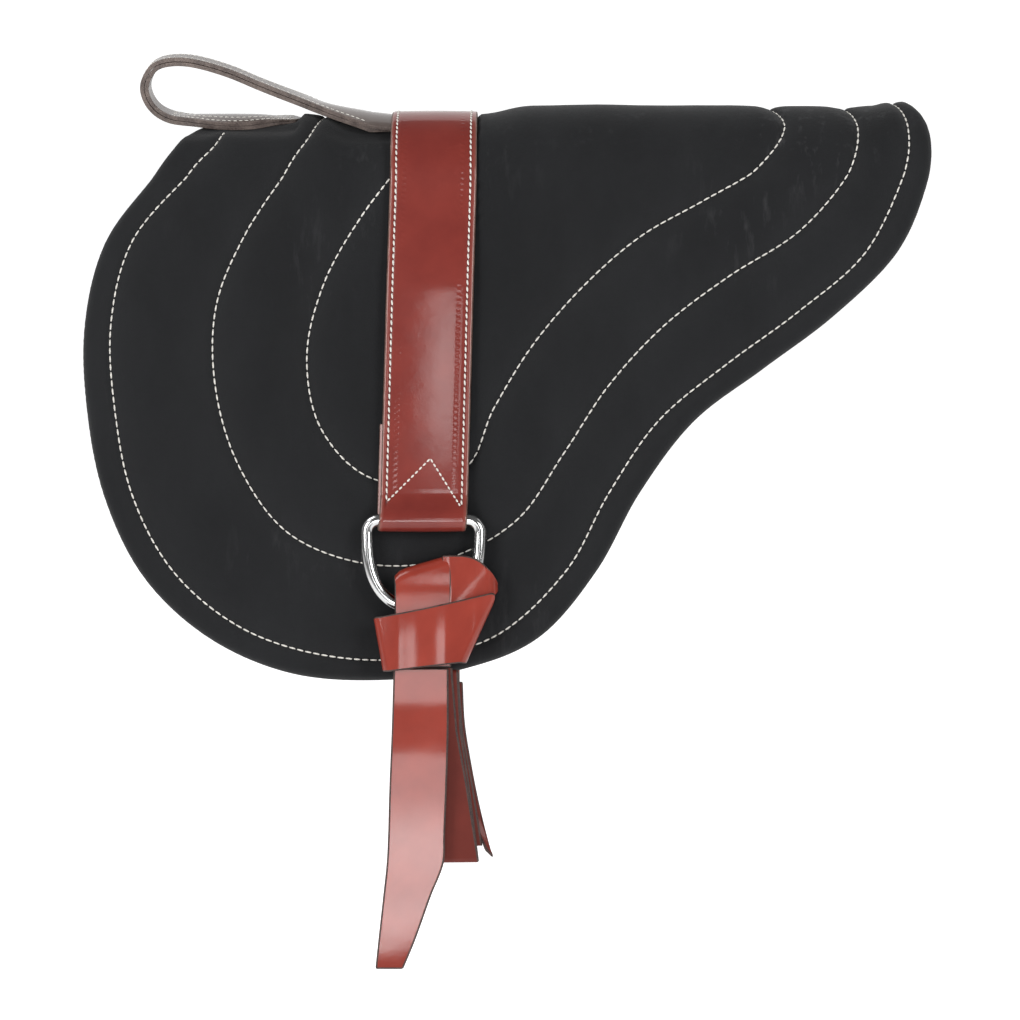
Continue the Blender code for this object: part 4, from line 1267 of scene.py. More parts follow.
def dress_across(piece, bodies, hinge, reach, slot, *nodes):
    """Bake the piece's transform into its points and hide the solids that it stands for. The
    bodies, hinge, reach and slot are not used.
    """
    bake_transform(piece)
    if nodes:
        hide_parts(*nodes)


def dress_strap(piece, side, *nodes):
    dress_across(piece, ("pad", SIDE_NAMES[side] + "_strap"), strap_hinge(side),
                 down_of(side) * HINGE_BEND, "strap_leather", *nodes)


leather = [chestnut, strap_edge]
STRAP_PROFILE = strap_profile()
crossing_run = crossing_stations(OUTER_LIFT)
crossing = swept_ply("surcingle", crossing_run, STRAP_PROFILE, leather,
                     [1.0] * len(crossing_run), (0.0, -1.0))
dress(crossing, "pad", "strap_leather", "surcingle_outer_ply")
crossing = strip("surcingle_backing", crossing_stations(BACKING_LIFT), STRAP_PLY, leather, 4)
dress(crossing, "pad", "strap_leather", "surcingle_backing_ply")

crossing_length = run_lengths(middles_of(crossing_run))[-1]
for side, grain in ((NEAR, (0.0, 1.0)), (OFF, (crossing_length, -1.0))):
    name = SIDE_NAMES[side] + "_strap"
    run = outer_stations(side)
    dress_strap(swept_ply(name, run, STRAP_PROFILE, leather, row_dips(run, side), grain),
                side, name + "_outer_ply")
    run = hanging_stations(BACKING_LIFT, -STRAP_PLY * 1.5 - FIT_GAP, side,
                           STRAP_HANG - TURN_BACK - FIT_GAP)
    dress_strap(strip(name + "_backing", run, STRAP_PLY, leather, 4), side, name + "_backing_ply")
print("the middle stretch of the surcingle is", round(crossing_length, 3), "m long")

# %% [markdown]
# ## Strap stitching
# Two rows run close to the edges from side to side, and a pointed row closes the fold above
# each ring. The rows are measured from the strap's stations, so they stay in their creases
# wherever the strap goes.

# %% Strap stitching
STRAP_PITCH = 0.0052
STRAP_STITCH = 0.0044
STITCH_SLANT = 0.16
STITCH_LIFT = 0.0003
CHEVRON_PITCH = 0.0040
CHEVRON_STITCH = 0.0033
CHEVRON_LIFT = 0.0001
CHEVRON_TOP = 0.048
CHEVRON_FEET = (0.0146, 0.0105)
CHEVRON_SHIFT = 0.004
CHEVRON_HALF = 0.0285
CHEVRON_STEPS = 12
BAR_MARGIN = 0.001
INSET_SHARE = ROW_INSET / STRAP_WIDTH
ROW_PLACES = (INSET_SHARE, 1.0 - INSET_SHARE)


def strip_row(stations, share):
    """A line of (point, normal) pairs along the crease in a strap's face."""
    lift = face_height(ROW_INSET) - ROW_DEPTH + STITCH_LIFT
    return [(left.lerp(right, share) + normal * lift, normal)
            for (left, right), normal in zip(stations, strip_normals(stations))]


def face_spot(side, across, above_bar):
    near_bar = smooth(1.0 - (above_bar - BAR_MARGIN) / TURN_LEAD)
    out = STRAP_CROWN + CHEVRON_LIFT + near_bar * (BAR_OFFSET + STRAP_BEND + STRAP_PLY / 2)
    left, right = hanging_station(STRAP_HANG - above_bar, out, side)
    return left.lerp(right, across / STRAP_WIDTH + 0.5)


def chevron_line(side, across, foot):
    """Half of the pointed row, from its top down to one foot."""
    shares = [step / CHEVRON_STEPS for step in range(CHEVRON_STEPS + 1)]
    return [(face_spot(side, lerp(CHEVRON_SHIFT, across, share), lerp(CHEVRON_TOP, foot, share)),
             out_of(side)) for share in shares]


spots = []
for share in ROW_PLACES:
    spots += stitch_spots(strip_row(crossing_run, share), STRAP_PITCH, STITCH_SLANT)
dress(sew("surcingle_thread", spots, STRAP_STITCH), "pad", "strap_leather")

for side, prefix in SIDE_NAMES.items():
    stations = outer_stations(side)
    spots = []
    chevron_spots = []
    for share, across, foot in zip(ROW_PLACES, (-CHEVRON_HALF, CHEVRON_HALF), CHEVRON_FEET):
        line = [(point, normal) for point, normal in strip_row(stations, share)
                if (point - strap_hinge(side)).dot(down_of(side)) < STRAP_HANG - foot
                and normal.dot(out_of(side)) > 0.5]
        spots += stitch_spots(line, STRAP_PITCH, STITCH_SLANT)
        chevron_spots += stitch_spots(chevron_line(side, across, foot), CHEVRON_PITCH)
    dress_strap(sew(prefix + "_strap_thread", spots, STRAP_STITCH), side)
    dress_strap(sew(prefix + "_chevron_thread", chevron_spots, CHEVRON_STITCH), side)
    print(prefix, "strap:", len(spots) + len(chevron_spots), "stitches")

# %% [markdown]
# ## D rings
# A ring is round wire on a D outline: a straight bar inside the strap's fold and a squarish
# bow. A curve object with a round bevel could make it, but would have to be turned into a
# mesh. A grid that closes both ways is one already: round the outline and round the wire.

# %% D rings
RING_INNER_WIDTH = 0.0775
RING_DROP = 0.0685
RING_SQUARENESS = 2.6
RING_HALF = RING_INNER_WIDTH / 2 + WIRE_RADIUS
RING_CORNER = RING_HALF - HALF_STRAP - FIT_GAP
CORNER_STEPS = 10
BOW_STEPS = 400
RING_STEPS = 120
WIRE_SIDES = 24


def ring_place(side, across, out, drop):
    """A place on a ring, or on what hangs from it, measured from the bar's middle."""
    pivot = pivots[SIDE_NAMES[side] + "_ring_swing"]
    return pivot + Vector((across * -side, 0.0, 0.0)) + out_of(side) * out + down_of(side) * drop


def ring_outline():
    corner = Vector((RING_HALF - RING_CORNER, RING_CORNER))
    points = arc(corner, RING_CORNER, -math.pi / 2, 0.0, CORNER_STEPS)
    for step in range(1, BOW_STEPS):
        turn = math.pi * step / BOW_STEPS
        across = math.copysign(abs(math.cos(turn)) ** (2.0 / RING_SQUARENESS), math.cos(turn))
        down = math.sin(turn) ** (2.0 / RING_SQUARENESS)
        points.append(Vector((RING_HALF * across, lerp(RING_CORNER, RING_DROP, down))))
    corner = Vector((-corner.x, corner.y))
    points += arc(corner, RING_CORNER, math.pi, math.pi * 1.5, CORNER_STEPS)
    return even_points([*points, points[0]], RING_STEPS)[:-1]


def add_ring(side):
    outline = ring_outline()
    count = len(outline)

    def place(i, j):
        here = outline[i % count]
        run = (outline[(i + 2) % count] - outline[i % count - 2]).normalized()
        turn = 2.0 * math.pi * j / WIRE_SIDES
        inward = Vector((-run.y, run.x)) * math.cos(turn) * WIRE_RADIUS
        return ring_place(side, here.x + inward.x, math.sin(turn) * WIRE_RADIUS, here.y + inward.y)

    shape = bmesh.new()
    bent_grid(shape, count, WIRE_SIDES, place, lambda i, j: (i / count, j / WIRE_SIDES))
    close_seams(shape)
    return finish_piece(SIDE_NAMES[side] + "_ring", shape, [steel], sharp=math.pi)


for side, prefix in SIDE_NAMES.items():
    dress(add_ring(side), prefix + "_ring", "ring_steel", prefix + "_d_ring")
print("rings are", RING_INNER_WIDTH, "m wide inside")

# %% [markdown]
# ## The tied latigo
# The latigo goes up in front of the ring's bow, folds over, turns round the ring's rear side
# and crosses its own front in a broad band. One long strip could be tied by a simulation, but
# it would never settle just so. Each turn is a sheet of its own on the curve that the photo
# shows, and each begins and ends where another turn hides it.

# %% Latigo turns
LATIGO_WIDTH = 0.0435
LATIGO_PLY = 0.0033
LATIGO_ROUNDING = 0.0012
LATIGO_UV_RUN = 0.15
HALF_LATIGO = LATIGO_WIDTH / 2
LATIGO_BEND = WIRE_RADIUS + RING_PLAY + LATIGO_PLY / 2
LATIGO_STEP = LATIGO_PLY + FIT_GAP
HITCH_TOP_LEFT = 0.0478
HITCH_TOP_RIGHT = 0.0352
HITCH_SHOULDER = 0.0040
HITCH_RAISE = 0.0014
HITCH_LEAN = 3.5
HITCH_LEAN_FROM = 0.0575
BAND_BOTTOM = 0.1140
red_leather = [latigo_red, latigo_edge]


def ring_sheet(name, along, across, place):
    """A sheet of latigo whose place(u, v) gives (across, out, drop) for shares u and v."""
    shape = bmesh.new()
    bent_grid(shape, along, across, lambda i, j: ring_place(NEAR, *place(i / along, j / across)),
              lambda i, j: (j / across * LATIGO_WIDTH, i / along * LATIGO_UV_RUN))
    bmesh.ops.remove_doubles(shape, verts=shape.verts, dist=MERGE_DISTANCE)
    piece = finish_piece("near_" + name, shape, red_leather)
    thicken(piece, LATIGO_PLY, LATIGO_ROUNDING)
    dress(piece, "near_ring", "latigo_leather", "near_latigo_" + name)


def hitch_place(u, v):
    """Up the front, over the slanting fold and down the back."""
    top = lerp(HITCH_TOP_LEFT, HITCH_TOP_RIGHT, v) + HITCH_SHOULDER * (1.0 - v) ** 14
    across = (v - 0.5) * LATIGO_WIDTH
    front_run, turn_run = 0.5, 0.75

    def face(drop):
        return LATIGO_BEND + HITCH_RAISE - HITCH_LEAN * max(HITCH_LEAN_FROM - drop, 0.0) ** 2

    if u <= front_run:
        drop = lerp(BAND_BOTTOM - FIT_GAP, top, u / front_run)
        return across, face(drop), drop
    if u <= turn_run:
        turn = math.pi * (u - front_run) / (turn_run - front_run)
        reach = face(top) if turn < math.pi / 2 else LATIGO_BEND
        return across, reach * math.cos(turn), top - LATIGO_BEND * math.sin(turn)
    share = (u - turn_run) / (1.0 - turn_run)
    return across, -LATIGO_BEND, lerp(top, RING_DROP + WIRE_RADIUS, share)


ring_sheet("hitch", 64, 10, hitch_place)

WRAP_TOP = 0.0275
WRAP_TOP_FALL = 0.0275
WRAP_TOP_BLUNT = 0.95
WRAP_LOW = 0.0696
WRAP_LOW_RISE = 0.0050
WRAP_LOW_CURL = 0.0090
WRAP_CORNER = 0.028
WRAP_START = 0.0150
WRAP_REACH = 0.0490
WRAP_TUCK = 0.0030
WRAP_TUCK_FROM = HALF_LATIGO - 0.010
WRAP_TUCK_RUN = 0.011
WRAP_SWELL = 0.0019
SWELL_PLACE = (0.037, 0.050)
SWELL_WAY = (0.76, 0.65)
SWELL_RUN = 0.014


def wrap_edges(across):
    """The upper and lower edge of the turn, both rounded off towards the ring's side."""
    to_side = max(across - WRAP_CORNER, 0.0) / (WRAP_REACH + LATIGO_BEND - WRAP_CORNER)
    top = WRAP_TOP + WRAP_TOP_FALL * (1.0 - math.sqrt(1.0 - WRAP_TOP_BLUNT * to_side ** 2))
    return top, WRAP_LOW - WRAP_LOW_RISE * to_side - WRAP_LOW_CURL * to_side ** 6


def wrap_place(u, v):
    """From under the hitch to the right, round the ring's side and back behind it."""
    front_run, turn_run = 0.45, 0.75
    swell = 0.0
    if u <= front_run:
        share = u / front_run
        across = lerp(WRAP_START, WRAP_REACH, share)
        tucked = 1.0 - smooth((across - WRAP_TUCK_FROM) / WRAP_TUCK_RUN)
        out = LATIGO_BEND - WRAP_TUCK * tucked
        swell = WRAP_SWELL * smooth(share * 4.0)
    elif u <= turn_run:
        turn = math.pi * (u - front_run) / (turn_run - front_run)
        across = WRAP_REACH + LATIGO_BEND * math.sin(turn)
        out = LATIGO_BEND * math.cos(turn)
        swell = WRAP_SWELL * max(math.cos(turn), 0.0)
    else:
        across = lerp(WRAP_REACH, WRAP_START, (u - turn_run) / (1.0 - turn_run))
        out = -LATIGO_BEND
    drop = lerp(*wrap_edges(across), v)
    off_crest = ((across - SWELL_PLACE[0]) * SWELL_WAY[0]
                 + (drop - SWELL_PLACE[1]) * SWELL_WAY[1])
    return across, out + swell * math.exp(-(off_crest / SWELL_RUN) ** 2), drop


ring_sheet("cross_wrap", 60, 22, wrap_place)
print("hitch and wrap turn", round(LATIGO_BEND, 4), "m round the ring's wire")

# %% [markdown]
# ## Latigo band
# The band is the last turn. It lies across the hitch and the wrap, and it shows what is under
# it: it stands out over them and falls back between them. A flat sheet would look like card,
# so a table of heights across the front gives it that relief.

# %% Latigo band
BAND_TOP_LEFT = 0.0748
BAND_TOP_RIGHT = 0.0565
BAND_TOP_SAG = 0.0015
BAND_LOW_LEFT = 0.1170
BAND_LOW_RIGHT = 0.1105
BAND_LEFT_TOP = -0.0330
BAND_LEFT_LOW = -0.0255
BAND_RIGHT_TOP = 0.0528
BAND_RIGHT_LOW = 0.0282
BAND_BULGE = 0.0004
BAND_BACK_TOP = 0.0770
BAND_BACK_SHARE = 0.8
BAND_RELIEF = [(-0.040, -0.0008), (-0.017, 0.0028), (-0.009, 0.0030), (0.0155, 0.0046),
               (0.040, 0.0018), (0.056, -0.0006)]
BAND_FRONT = LATIGO_BEND + LATIGO_STEP
BAND_BACK = LATIGO_BEND - LATIGO_STEP
BAND_TURN = (BAND_FRONT - BAND_BACK) / 2
BAND_MIDDLE = (BAND_FRONT + BAND_BACK) / 2


def band_place(u, v):
    """Across the front, round the right edge, back behind the hitch and round the left edge.

    The front stands out as it passes over what lies beneath."""
    front_run, right_run, back_run = 0.45, 0.56, 0.89
    turn = 0.0
    out = BAND_FRONT
    if u <= front_run:
        share = u / front_run
    elif u <= right_run:
        share = 1.0
        turn = math.pi * (u - front_run) / (right_run - front_run)
        out = BAND_MIDDLE + BAND_TURN * math.cos(turn)
    elif u <= back_run:
        share = 1.0 - (u - right_run) / (back_run - right_run)
        out = BAND_BACK
    else:
        share = 0.0
        turn = -math.pi * (u - back_run) / (1.0 - back_run)
        out = BAND_MIDDLE - BAND_TURN * math.cos(turn)
    top = lerp(BAND_TOP_LEFT, BAND_TOP_RIGHT, share) + BAND_TOP_SAG * math.sin(math.pi * share)
    top = lerp(lerp(top, BAND_BACK_TOP, BAND_BACK_SHARE), top,
               smooth((out - BAND_BACK) / BAND_TURN / 2.0))
    drop = lerp(top, lerp(BAND_LOW_LEFT, BAND_LOW_RIGHT, share), v)
    left = lerp(BAND_LEFT_TOP, BAND_LEFT_LOW,
                (drop - BAND_TOP_LEFT) / (BAND_LOW_LEFT - BAND_TOP_LEFT))
    right = lerp(BAND_RIGHT_TOP, BAND_RIGHT_LOW,
                 (drop - BAND_TOP_RIGHT) / (BAND_LOW_RIGHT - BAND_TOP_RIGHT))
    across = lerp(left, right, share) + BAND_TURN * math.sin(turn)
    relief = eased(BAND_RELIEF, across) + BAND_BULGE * math.sin(math.pi * v)
    return across, out + relief * clamp((out - BAND_MIDDLE) / BAND_TURN), drop


ring_sheet("band", 120, 18, band_place)
print("band stands", round(BAND_FRONT, 4), "m off the ring's middle")

# %% [markdown]
# ## Loose end
# The loose end hangs from the band, narrows to a blunt tip and curls a little. It could be
# bent by a modifier, but the curl has to leave room for the folds behind it. So a table of
# slopes is summed up along its length, and another one gives both edges.

# %% Loose end
TAIL_LENGTH = 0.230
TAIL_SHARES = [
    (0.0, -0.520, 0.455), (0.22, -0.550, 0.455), (0.40, -0.585, 0.430), (0.55, -0.605, 0.400),
    (0.65, -0.630, 0.375), (0.76, -0.690, 0.150), (0.90, -0.770, -0.115), (1.0, -0.825, -0.335),
]
TAIL_SLOPES = [(0.0, 0.0), (0.08, 0.0), (0.15, 0.075), (0.25, 0.075), (0.36, 0.01), (0.60, -0.02),
               (0.75, 0.01), (0.92, 0.0), (1.0, -0.03)]
SLOPE_STEPS = 200
TAIL_STEPS = 10
TAIL_CROWN = 0.0001
TAIL_ROUNDING = 0.0015


def below_band(across, out, drop):
    """A place that hangs below the band, measured from its lower edge."""
    return ring_place(NEAR, across, out, BAND_BOTTOM + drop)


def tapered(shares, steps, spots_at):
    """Stations from a table of (length, left edge, right edge) shares.

    spots_at(share) gives (out, drop) of the left and of the right edge."""
    return [[below_band(edge * LATIGO_WIDTH, *spot) for edge, spot in zip(edges, spots_at(along))]
            for along, *edges in smooth_line([Vector(row) for row in shares], steps)]


tail_rises = [0.0]
for step in range(SLOPE_STEPS):
    slope = eased(TAIL_SLOPES, step / SLOPE_STEPS)
    tail_rises.append(tail_rises[-1] + slope * TAIL_LENGTH / SLOPE_STEPS)


def tail_spots(along):
    """The loose end leaves the knot in a bow and curls at its tip."""
    spot = clamp(along) * SLOPE_STEPS
    low = min(int(spot), SLOPE_STEPS - 1)
    out = LATIGO_BEND + lerp(tail_rises[low], tail_rises[low + 1], spot - low)
    return [(out, lerp(FIT_GAP / 2, TAIL_LENGTH, along))] * 2


tail = strip("near_tail", tapered(TAIL_SHARES, TAIL_STEPS, tail_spots), LATIGO_PLY, red_leather,
             10, TAIL_CROWN, TAIL_ROUNDING)
dress(tail, "near_tail", "latigo_leather", "near_latigo_tail")
print("loose end curls", round(tail_rises[-1], 4), "m out")

# %% [markdown]
# ## Folds
# The spare length is folded down, up and down again, each fold a little further to the rear,
# and a pointed end shows beside them. At such tight turns a thickened sheet would cross
# itself at its rounded edges, so the folds are a round-edged profile that is swept instead.

# %% Folds
FOLD_LENGTH = 0.150
FOLD_STEP = 0.006
FOLD_TURN_STEPS = 8
FOLD_LEAD = 0.004
FOLD_END = 0.009
FOLD_TILT = 0.0050
FOLD_TILT_RUN = 0.05
FOLD_SHIFT = 0.0064
FOLD_WIDTH = LATIGO_WIDTH * 1.01
FOLD_SHARES = [(0.0, -0.500, 0.527), (0.33, -0.420, 0.598), (0.60, -0.260, 0.756),
               (1.0, -0.060, 0.950)]
POINT_START = 0.011
POINT_LENGTH = 0.130
POINT_SLANT = 0.0060
POINT_STEPS = 6
POINT_SHARES = [
    (0.0, -0.36, 0.70), (0.25, -0.10, 0.74), (0.50, 0.30, 0.86), (0.70, 0.68, 0.98),
    (0.86, 0.92, 1.10), (0.96, 1.06, 1.19), (1.0, 1.12, 1.24),
]
# Painted shade: the folds and the point take the darker latigo.
flesh_shaded_leather = [latigo_flesh_shaded, latigo_edge]


def round_profile(width, thickness, face_steps=6, edge_steps=8):
    """A closed profile with half-round edges, for plies that turn too tightly to bevel."""
    radius = thickness / 2
    flat = width / 2 - radius
    profile = [(lerp(-flat, flat, step / face_steps), radius, step in (0, face_steps), 0.0)
               for step in range(face_steps + 1)]
    for step in range(1, edge_steps):
        turn = math.pi * step / edge_steps
        profile.append((flat + radius * math.sin(turn), radius * math.cos(turn), True, 0.0))
    return profile + [(-across, -height, is_edge, dip) for across, height, is_edge, dip in profile]


def fold_edges(share):
    """Left and right edge of the folded length, as shares of the latigo's width."""
    for start, end in zip(FOLD_SHARES, FOLD_SHARES[1:]):
        if share <= end[0]:
            inner = clamp((share - start[0]) / (end[0] - start[0]))
            return lerp(start[1], end[1], inner), lerp(start[2], end[2], inner)
    return FOLD_SHARES[-1][1:]


def flat_run(start, end, step, out):
    return [Vector((drop, out)) for drop in steps_between(start, end, step)]


def fold_stations():
    """Down, up and down again, each run one step further in."""
    first, second, third = (LATIGO_BEND - LATIGO_STEP * run for run in (1, 2, 3))
    bend = LATIGO_STEP / 2
    high = LATIGO_PLY + bend
    low = FOLD_LENGTH - bend - LATIGO_PLY / 2
    half_turn = math.pi / 2
    line = [*flat_run(FIT_GAP, low, FOLD_STEP, first),
            *arc(Vector((low, (first + second) / 2)), bend, half_turn, -half_turn,
                 FOLD_TURN_STEPS),
            *flat_run(low - FOLD_LEAD, high, FOLD_STEP, second),
            *arc(Vector((high, (second + third) / 2)), bend, half_turn, half_turn * 3.0,
                 FOLD_TURN_STEPS),
            *flat_run(high + FOLD_LEAD, low - FOLD_END, FOLD_STEP, third)]
    lengths = run_lengths(line)
    stations = []
    for (drop, out), run in zip(line, lengths):
        left, right = fold_edges(drop / FOLD_LENGTH)
        shift = FOLD_SHIFT * run / lengths[-1]
        tilt = FOLD_TILT * smooth(drop / FOLD_TILT_RUN)
        stations.append((below_band(left * LATIGO_WIDTH + shift, out, drop),
                         below_band(right * LATIGO_WIDTH + shift, out - tilt, drop)))
    return stations


def point_spots(along):
    """The cut end lies behind the folds and slants to its tip."""
    out = LATIGO_BEND - LATIGO_STEP * 4
    drop = POINT_START + along * POINT_LENGTH
    return (out - FOLD_TILT / 2, drop), (out - FOLD_TILT, drop + POINT_SLANT * along ** 6)


fold_line = fold_stations()
folds = swept_ply("near_folds", fold_line, round_profile(FOLD_WIDTH, LATIGO_PLY), flesh_shaded_leather,
                  [0.0] * len(fold_line))
dress(folds, "near_bundle", "latigo_leather", "near_latigo_folds")
point = strip("near_point", tapered(POINT_SHARES, POINT_STEPS, point_spots), LATIGO_PLY,
              flesh_shaded_leather, rounding=LATIGO_ROUNDING)
dress(point, "near_bundle", "latigo_leather", "near_latigo_point")
print("folded length:", round(run_lengths(middles_of(fold_line))[-1], 3), "m")

# %% [markdown]
# ## Off billet
# The photograph doesn't show the off side. Such pads carry a plain billet there, folded over
# the ring and punched for the girth's buckle. A Boolean cuts the holes with a row of small
# drums that stand in the finished ply, because real holes show from both sides.

# %% Off billet
BILLET_LENGTH = 0.230
BILLET_TURN_BACK = 0.085
BILLET_BACK_STEP = 0.008
BILLET_FRONT_STEP = 0.003
BILLET_ARC_STEPS = 18
BILLET_LEAD = 0.004
BILLET_LEAD_STEPS = 12
BILLET_TIP = 0.030
BILLET_TIP_BLUNT = 0.86
BILLET_TIP_POWER = 2.2
BILLET_SLACK = 0.0045
BILLET_PLAY = 0.0033
BILLET_BEND = 0.012
BILLET_BACK = -LATIGO_BEND
BILLET_FRONT = BILLET_BACK + LATIGO_STEP
HOLE_RADIUS = 0.003
HOLE_PITCH = 0.022
HOLES = 5
FIRST_HOLE = 0.110
DRUM_SIDES = 24


def billet_place(across, out, drop):
    return ring_place(OFF, across, out, RING_DROP + drop)


def billet_stations():
    """Up behind, over the ring's bow and down to the point in front."""
    centre = Vector((-BILLET_SLACK, BILLET_PLAY / 2))
    line = flat_run(BILLET_TURN_BACK, BILLET_LEAD, BILLET_BACK_STEP, BILLET_BACK)
    line += arc(centre, LATIGO_BEND + BILLET_PLAY / 2, -math.pi / 2, -math.pi * 1.5,
                BILLET_ARC_STEPS)
    lead_end = TURN_LEAD + WIRE_RADIUS
    for step in range(1, BILLET_LEAD_STEPS + 1):
        share = step / BILLET_LEAD_STEPS
        out = lerp(LATIGO_BEND + BILLET_PLAY, BILLET_FRONT, smooth(share))
        line.append(Vector((lerp(WIRE_RADIUS, lead_end, share), out)))
    line += flat_run(lead_end + BILLET_LEAD, BILLET_LENGTH, BILLET_FRONT_STEP, BILLET_FRONT)
    stations = []
    for drop, out in reversed(line):
        pointed = clamp((drop - (BILLET_LENGTH - BILLET_TIP)) / BILLET_TIP)
        half = HALF_LATIGO * math.sqrt(1.0 - BILLET_TIP_BLUNT * pointed ** BILLET_TIP_POWER)
        stations.append((billet_place(-half, out, drop), billet_place(half, out, drop)))
    return stations


def punch(piece):
    """Cut the row of buckle holes."""
    shape = bmesh.new()
    turn = out_of(OFF).to_track_quat("Z", "Y").to_matrix().to_4x4()
    for hole in range(HOLES):
        turn.translation = billet_place(0.0, BILLET_FRONT, FIRST_HOLE + HOLE_PITCH * hole)
        bmesh.ops.create_cone(shape, cap_ends=True, segments=DRUM_SIDES, radius1=HOLE_RADIUS,
                              radius2=HOLE_RADIUS, depth=LATIGO_PLY * 2, matrix=turn)
    mesh = bpy.data.meshes.new("billet_punches")
    shape.to_mesh(mesh)
    shape.free()
    drums = add_to_scene("billet_punches", mesh)
    cut = piece.modifiers.new("Punched holes", "BOOLEAN")
    cut.operation = "DIFFERENCE"
    cut.object = drums
    punched = piece.evaluated_get(bpy.context.evaluated_depsgraph_get())
    piece.data = bpy.data.meshes.new_from_object(punched)
    piece.modifiers.clear()
    bpy.data.objects.remove(drums)


billet = strip("off_billet_strap", billet_stations(), LATIGO_PLY, red_leather, 10)
punch(billet)
dress_across(billet, ("off_ring", "off_billet"), pivots["off_billet_swing"],
             down_of(OFF) * BILLET_BEND, "latigo_leather", "off_billet_loop", "off_billet")
print("off billet:", HOLES, "holes")

# %% [markdown]
# ## Grab handle
# Two plies of leather make a loop. Its front end spreads into a paddle that is sewn to the
# crest, and its rear end goes under the surcingle. The plies could be modelled one by one, but
# would hardly stay together. Both follow one middle line, half a step above and below it,
# and drape over the crest where they widen.

# %% Grab handle
PADDLE_STEPS = 24
PADDLE_TIP_SHARE = -0.42
TIP_SINK = 0.0010
TIP_SKIVE = 0.62
SKIVE_EASE = 0.7
HANDLE_LEAN = 0.16
HANDLE_STEPS = 8
HANDLE_COLUMNS = 12
HANDLE_ROUNDING = 0.0004
NARROWEST = 0.0012
DRAPE_EASE = 1.6
MEETING_RISE = 0.0012
MEETING_SPREAD = 1.35
MEETING_STEPS = 4
TUCK_STEPS = 10
HALF_STEP = (HANDLE_PLY + FIT_GAP) / 2
UNDER_STRAP = STRAP_SEAT + FIT_GAP + HANDLE_PLY / 2 + HALF_STEP - PADDLE_MIDDLE


def handle_line():
    """x, level over the paddle's seat, and how wide the handle has grown."""
    corners = [Vector((-HALF_STRAP - HANDLE_REACH * x, HANDLE_HEIGHT * z, wide))
               for x, z, wide in HANDLE_SHARES]
    line = smooth_line(corners, HANDLE_STEPS)
    last = corners[-1]
    for step in range(1, PADDLE_STEPS + 1):
        share = step / PADDLE_STEPS
        line.append(Vector((last.x + PADDLE_RUN * share, last.y - TIP_SINK * smooth(share),
                            lerp(1.0, PADDLE_TIP_SHARE, share ** 2))))
    return line


def skived(i, count):
    """The share of its thickness that a ply keeps: the paddle is pared down to a thin tip."""
    to_tip = (count - 1 - i) / PADDLE_STEPS
    return 1.0 - TIP_SKIVE * (1.0 - smooth(to_tip / SKIVE_EASE))


def handle_place(points, lift):
    """The rule for one ply: it leans in the loop and drapes over the crest at its ends."""
    count = len(points)

    def place(i, j):
        before, after = points[max(i - 1, 0)], points[min(i + 1, count - 1)]
        run = Vector((after.x - before.x, after.y - before.y)).normalized()
        away = lift * skived(i, count)
        here = points[i]
        x = here.x + run.y * away
        height = here.y + PADDLE_MIDDLE - run.x * away
        column = j / HANDLE_COLUMNS * 2.0 - 1.0
        half = max(lerp(HANDLE_WIDTH, PADDLE_WIDTH, here.z) / 2, NARROWEST)
        drape = clamp(here.z * DRAPE_EASE)
        reach = abs(column) * half * RIDGE_RADIUS / (RIDGE_RADIUS + PADDLE_MIDDLE)
        draped_out, draped_level = section_point(reach, height)
        out = lerp(abs(column) * half, draped_out, drape)
        leaning = height + column * half * HANDLE_LEAN
        level = lerp(leaning, draped_level + crest_rise(x, reach), drape)
        return Vector((x, math.copysign(out, column), level))

    return place


def add_handle_ply(name, points, place, node):
    count = len(points)
    lengths = run_lengths([point.xy for point in points])
    shape = bmesh.new()
    spots = bent_grid(shape, count - 1, HANDLE_COLUMNS, place,
                      lambda i, j: (HANDLE_WIDTH * j / HANDLE_COLUMNS, lengths[i]))
    shape.verts.index_update()
    rows = {vert.index: i for vert, (i, j) in spots.items()}
    piece = finish_piece(name, shape, [handle_brown, handle_edge])
    thicken(piece, HANDLE_PLY, HANDLE_ROUNDING)
    kept = piece.vertex_groups.new(name="kept thickness")
    for vert, i in rows.items():
        kept.add([vert], skived(i, count), "REPLACE")
    piece.modifiers["Thickness"].vertex_group = kept.name
    dress(piece, "pad", "handle_leather", node)


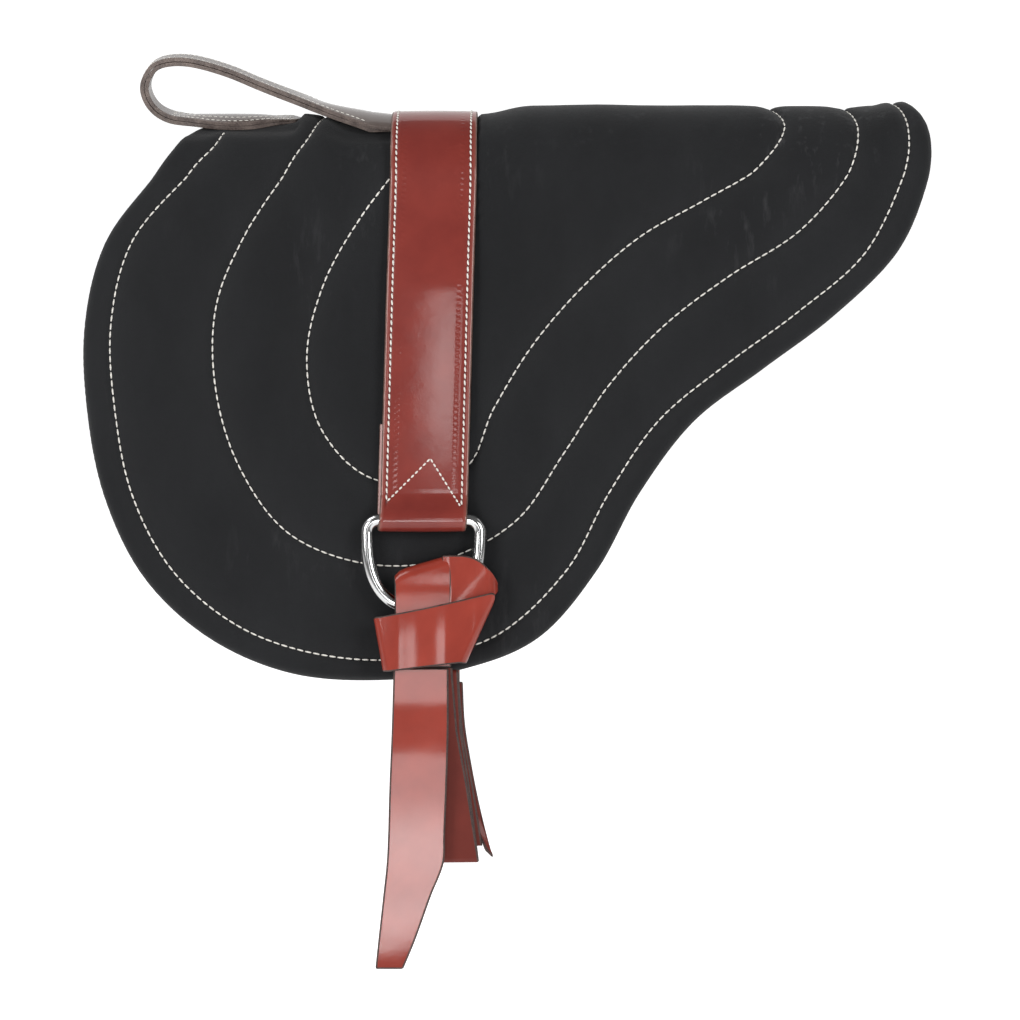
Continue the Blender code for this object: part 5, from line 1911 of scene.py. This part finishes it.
line = handle_line()
meeting = Vector((-HALF_STRAP - FIT_GAP, UNDER_STRAP + MEETING_RISE, MEETING_SPREAD))
outer_line = [meeting.lerp(line[0], step / MEETING_STEPS) for step in range(MEETING_STEPS)] + line
inner_line = [Vector((-HALF_STRAP + PADDLE_TUCK * (1.0 - step / TUCK_STEPS), UNDER_STRAP, 1.0))
              for step in range(TUCK_STEPS + 1)] + line
outer_place = handle_place(outer_line, HALF_STEP)
inner_place = handle_place(inner_line, -HALF_STEP)
add_handle_ply("handle_face", outer_line, outer_place, "handle_outer_ply")
add_handle_ply("handle_back", inner_line, inner_place, "handle_inner_ply")
print("handle: two plies of", len(outer_line), "and", len(inner_line), "rows")

# %% [markdown]
# ## Handle stitching
# One row runs along each edge of the loop and two along each edge of the paddle. They are
# finer than the strap's, as the photograph shows. Rows measured on a flat strip would float
# off a ply that leans and drapes, so each row asks the ply's own rule for its place.

# %% Handle stitching
HANDLE_PITCH = 0.0045
HANDLE_STITCH = 0.0036
HANDLE_THREAD = 0.0005
HANDLE_SINK = 0.0001
HANDLE_INSET = 0.0032
PADDLE_INSETS = (0.0032, 0.0105)
END_STEPS = 3


def handle_row(place, rows, side, inset, face):
    """A line near one edge of a ply, on the face that looks the given way."""
    row = []
    for i in rows:
        half = (place(i, HANDLE_COLUMNS) - place(i, 0)).length / 2
        reach = max(half - inset, 0.0) / half
        column = HANDLE_COLUMNS / 2 * (1.0 + side * reach)
        run = place(i + 1, column) - place(i - 1, column)
        beside = place(i, column + 0.5) - place(i, column - 0.5)
        normal = beside.cross(run).normalized() * face
        deep = HANDLE_PLY / 2 * skived(i, rows.stop + END_STEPS) - HANDLE_SINK
        row.append((place(i, column) + normal * deep, normal))
    return row


last_row = len(inner_line) - END_STEPS
on_paddle = range(len(inner_line) - PADDLE_STEPS - HANDLE_STEPS * 4, last_row)
in_loop = range(MEETING_STEPS + 1, len(outer_line) - END_STEPS)
spots = []
for side in (NEAR, OFF):
    spots += stitch_spots(handle_row(outer_place, in_loop, side, HANDLE_INSET, 1.0), HANDLE_PITCH)
    for inset in PADDLE_INSETS:
        spots += stitch_spots(handle_row(inner_place, on_paddle, side, inset, -1.0), HANDLE_PITCH)
dress(sew("handle_thread", spots, HANDLE_STITCH, HANDLE_THREAD), "pad", "handle_leather")
print("handle:", len(spots), "stitches")

# %% [markdown]
# ## Size of the dressed pad
# The dressed pad has to stay the size of the solids, so both spans are printed.

# %% Size of the dressed pad
dressed_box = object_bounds()
for name, (low, high) in (("solids", solid_box), ("dressed pad", dressed_box)):
    print(name, "span", [round(value, 4) for value in high - low])
